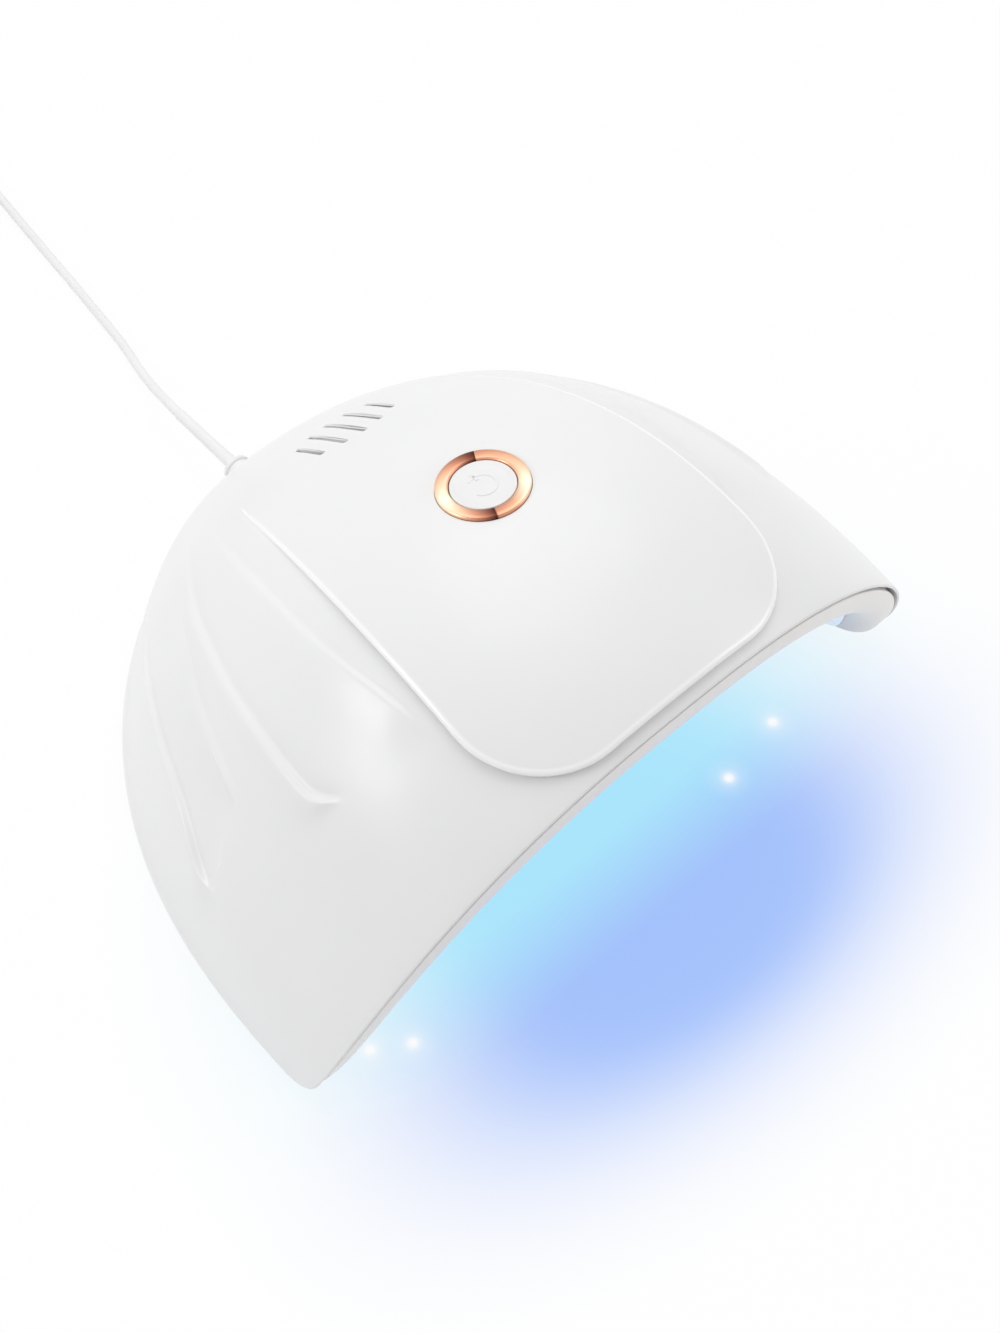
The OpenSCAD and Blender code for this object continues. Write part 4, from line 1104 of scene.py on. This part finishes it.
def ringMetal():
    material, tree, shader = newMaterial("ring_metal")
    place = wire(tree, "ShaderNodeMapping", vector_type="TEXTURE", Vector=coordinates(tree),
                 Location=tuple(buttonPlace.translation), Rotation=tuple(buttonPlace.to_euler()))[0]
    parts = wire(tree, "ShaderNodeSeparateXYZ", Vector=place)
    angle = maths(tree, "ARCTAN2", parts["Y"], parts["X"])
    turned = maths(tree, "MULTIPLY_ADD", angle, 0.5 / math.pi, 1 - ringFinish["start"] / 360)
    lathe = wire(tree, "ShaderNodeTexNoise", noise_dimensions="1D", W=lengthOf(tree, place),
                 Scale=ringFinish["lathe"], Detail=2.0)
    grain = grainOf(tree, ringFinish["scale"], ringFinish["fine"])
    # painted sheen in the colour, round the ring's axis
    fill(tree, shader, {
        "Base Color": rampOf(tree, maths(tree, "FRACT", turned), ringFinish["paintedSheen"]), "Metallic": 1,
        "Roughness": mapped(tree, grain["Tone"], *noiseSpan, *ringFinish["rough"]),
        "Normal": bumpOf(tree, lathe["Fac"], ringFinish["groove"], ringFinish["grooves"])})
    return material


materials["ring_metal"] = ringMetal()

filmSet = {
    # painted glow of the lamp's light on the film: its colours at the mouth and deep in, and its strength
    "rim": (0.4, 0.8, 1.0), "deep": (0.35, 0.4, 1.0), "strength": 0.07,
    "change": (-0.075, 0.01), "uneven": 0.3,  # where the painted glow's colour changes, in metres, and how much it wavers
    "color": (0.72, 0.76, 0.88, 1), "rough": (0.16, 0.3), "scale": 45, "fine": 14, "grain": 0.02,
}


def linerFilm():  # bright film with a painted glow, cyan at the mouth and violet further in
    material, tree, shader = newMaterial("liner_film")
    grain = grainOf(tree, filmSet["scale"], filmSet["fine"])
    parts = wire(tree, "ShaderNodeSeparateXYZ", Vector=coordinates(tree))
    depth = mapped(tree, parts["Y"], *filmSet["change"])
    uneven = maths(tree, "MULTIPLY_ADD", grain["Tone"], filmSet["uneven"], depth)
    fill(tree, shader, {
        "Base Color": filmSet["color"], "Metallic": 1,
        "Roughness": mapped(tree, grain["Grain"], *noiseSpan, *filmSet["rough"]),
        "Normal": bumpOf(tree, grain["Grain"], filmSet["grain"]),
        # painted glow: the film is no lamp
        "Emission Color": rampOf(tree, uneven, ((0, filmSet["rim"]), (1, filmSet["deep"]))),
        "Emission Strength": filmSet["strength"]})
    return material


lensSet = {
    "glow": ((0, (0.55, 0.6, 1.0)), (1, (0.85, 0.9, 1.0))), "strength": 2.5,
    "color": (0.7, 0.65, 1, 1), "rough": 0.08, "scale": 300, "fine": 6,
}


def lensResin():
    material, tree, shader = newMaterial("lens_resin")
    grain = grainOf(tree, lensSet["scale"], lensSet["fine"])
    fill(tree, shader, {
        "Base Color": lensSet["color"], "Roughness": lensSet["rough"],
        "Emission Color": rampOf(tree, grain["Tone"], lensSet["glow"]),
        "Emission Strength": lensSet["strength"]})
    return material


materials["liner_film"] = linerFilm()
materials["lens_resin"] = lensResin()


def dress(obj, slot):
    obj.data.materials.clear()
    obj.data.materials.append(materials[slot])


for part in frame["record"]["subparts"]:
    for slotted in nodes[part["node"]].material_slots:
        slotted.material = materials[part["material_slot"]]
print("materials built")

newPieces = [  # piece, body, CAD nodes that it stands for, finish
    (lead, "lamp", ("cord_run", "cord_coil", "cord_tail"), "cord_jacket"),
    (coverShell, "lamp", ("top_cover",), "cover_plastic"),
    (innerHousing, "lamp", ("inner_housing",), "housing_plastic"),
    (brightLiner, "lamp", ("reflector_liner",), "liner_film"),
    (buttonRing, "lamp", ("button_ring",), "ring_metal"),
    (powerCap, "button", ("power_button",), "cap_plastic"),
    (rubberFeet, "lamp", ("rubber_feet",), "foot_rubber"),
    (cordRelief, "lamp", ("strain_relief",), "cord_jacket"),
    (plugGrip, "lamp", ("usb_grip",), "cord_jacket"),
    (coilTie, "lamp", ("coil_tie",), "tie_plastic"),
]
for piece, body, stoodFor, slot in newPieces:
    dress(piece, slot)
    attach(piece, body)
    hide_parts(*stoodFor)
print("pieces ride")

floorSet = {
    "size": 6, "white": 0.93, "rough": 0.6, "shown": 0.93,
    # painted pool of the lamp's light in front of the opening, in metres
    "middle": (-0.003, -0.079), "halfWidth": 0.058, "towards": 0.031, "back": -0.064, "behind": 0.055,
    "most": 9,  # radii out from the middle, then the pool is over
    "fade": ((0, 1), (0.23, 1), (0.33, 0.95), (0.42, 0.76), (0.52, 0.5), (0.64, 0.24), (0.78, 0.07),
             (0.94, 0)),
    # colours of the painted pool near the opening and further out, and where they change
    "near": (0.40, 0.87, 1.0), "far": (0.33, 0.45, 0.99), "change": (-0.077, -0.055),
    # painted glints on the floor, as places in metres, how far each reaches and how it fades
    "sparks": ((0.0474, -0.06), (0.0298, -0.0635), (-0.0617, -0.0638), (-0.0691, -0.0591)),
    "sparkReach": 0.006, "sparkFade": ((0, 1.0), (0.13, 0.95), (0.24, 0.4), (0.45, 0.14), (1, 0.0)),
}


# The floor's colour, as the camera sees it, carries a painted pool of blue light and painted glints.
def floorFinish():
    material, tree, shader = newMaterial("paleFloor")
    fill(tree, shader, {"Base Color": (floorSet["white"],) * 3 + (1,), "Roughness": floorSet["rough"]})
    place = coordinates(tree)
    parts = wire(tree, "ShaderNodeSeparateXYZ", Vector=place)
    (midX, midY), back, most = floorSet["middle"], floorSet["back"], floorSet["most"]
    across = mapped(tree, parts["X"], midX, midX + floorSet["halfWidth"], clamp=False)
    towards = mapped(tree, parts["Y"], midY, midY - most * floorSet["towards"], 0.0, most)
    behind = mapped(tree, parts["Y"], back, back + most * floorSet["behind"], 0.0, most)
    spot = wire(tree, "ShaderNodeCombineXYZ", X=across, Y=maths(tree, "MAXIMUM", towards, behind))[0]
    radius = maths(tree, "MULTIPLY", lengthOf(tree, spot), 0.5)
    pool = rampOf(tree, radius, floorSet["fade"], "B_SPLINE")
    change = mapped(tree, parts["Y"], *floorSet["change"])
    tint = rampOf(tree, change, ((0, floorSet["far"]), (1, floorSet["near"])), "B_SPLINE")
    lit = mixed(tree, pool, (1, 1, 1, 1), tint)
    nearest = None
    for x, y in floorSet["sparks"]:
        reach = wire(tree, "ShaderNodeVectorMath", operation="DISTANCE", i0=place, i1=(x, y, 0))["Value"]
        nearest = reach if nearest is None else maths(tree, "MINIMUM", nearest, reach)
    close = mapped(tree, nearest, 0.0, floorSet["sparkReach"])
    spark = rampOf(tree, close, floorSet["sparkFade"], "B_SPLINE")
    # painted light: the pool and the glints shown as the floor's own glow
    glow = wire(tree, "ShaderNodeEmission", Color=mixed(tree, spark, lit, (1, 1, 1, 1)), Strength=1.0)[0]
    share = maths(tree, "MULTIPLY", seenShare(tree), floorSet["shown"])
    surface = wire(tree, "ShaderNodeMixShader", Fac=share, i1=shader.outputs[0], i2=glow)[0]
    fill(tree, tree.nodes["Material Output"], {"Surface": surface})
    return material


floor = newPrimitive(bpy.ops.mesh.primitive_plane_add, "studioFloor", size=floorSet["size"])
floor.data.materials.append(floorFinish())

lightSet = {
    "key": {"place": (-1.15, 0.45, 0.85), "size": 0.6, "power": 4.8},
    "top": {"place": (0.45, 0.42, 1.33), "size": 1.2, "power": 4.7},
    "front": {"place": (1.0, -0.8, 0.75), "size": 0.7, "power": 1.9},
}


def placeLight(name, look):
    data = bpy.data.lights.new(name, "AREA")
    data.shape, data.size, data.energy = "DISK", look["size"], look["power"]
    aim = Vector((0, 0, 0.04)) - Vector(look["place"])  # at the lamp's middle
    light = linked(name, data)
    light.matrix_world = Matrix.Translation(look["place"]) @ aim.to_track_quat("-Z", "Y").to_matrix().to_4x4()


for name, look in lightSet.items():
    placeLight(name, look)


# light from the sky's dim and bright side, and where it starts to brighten
skySet = {"towards": (0.3, 0.28, 0.9), "low": 0.27, "high": 0.85, "start": -0.2}


def worldLight():
    world = bpy.data.worlds.new("studioWorld")
    scene.world = world
    world.use_nodes = True
    tree = world.node_tree
    facing = wire(tree, "ShaderNodeVectorMath", operation="DOT_PRODUCT", i0=coordinates(tree, "Generated"),
                  i1=skySet["towards"])["Value"]
    sky = mapped(tree, facing, skySet["start"], 1.0, skySet["low"], skySet["high"])
    fill(tree, tree.nodes["Background"], {
        "Color": (1, 1, 1, 1), "Strength": maths(tree, "MAXIMUM", seenShare(tree), sky)})


worldLight()
print("studio lit")
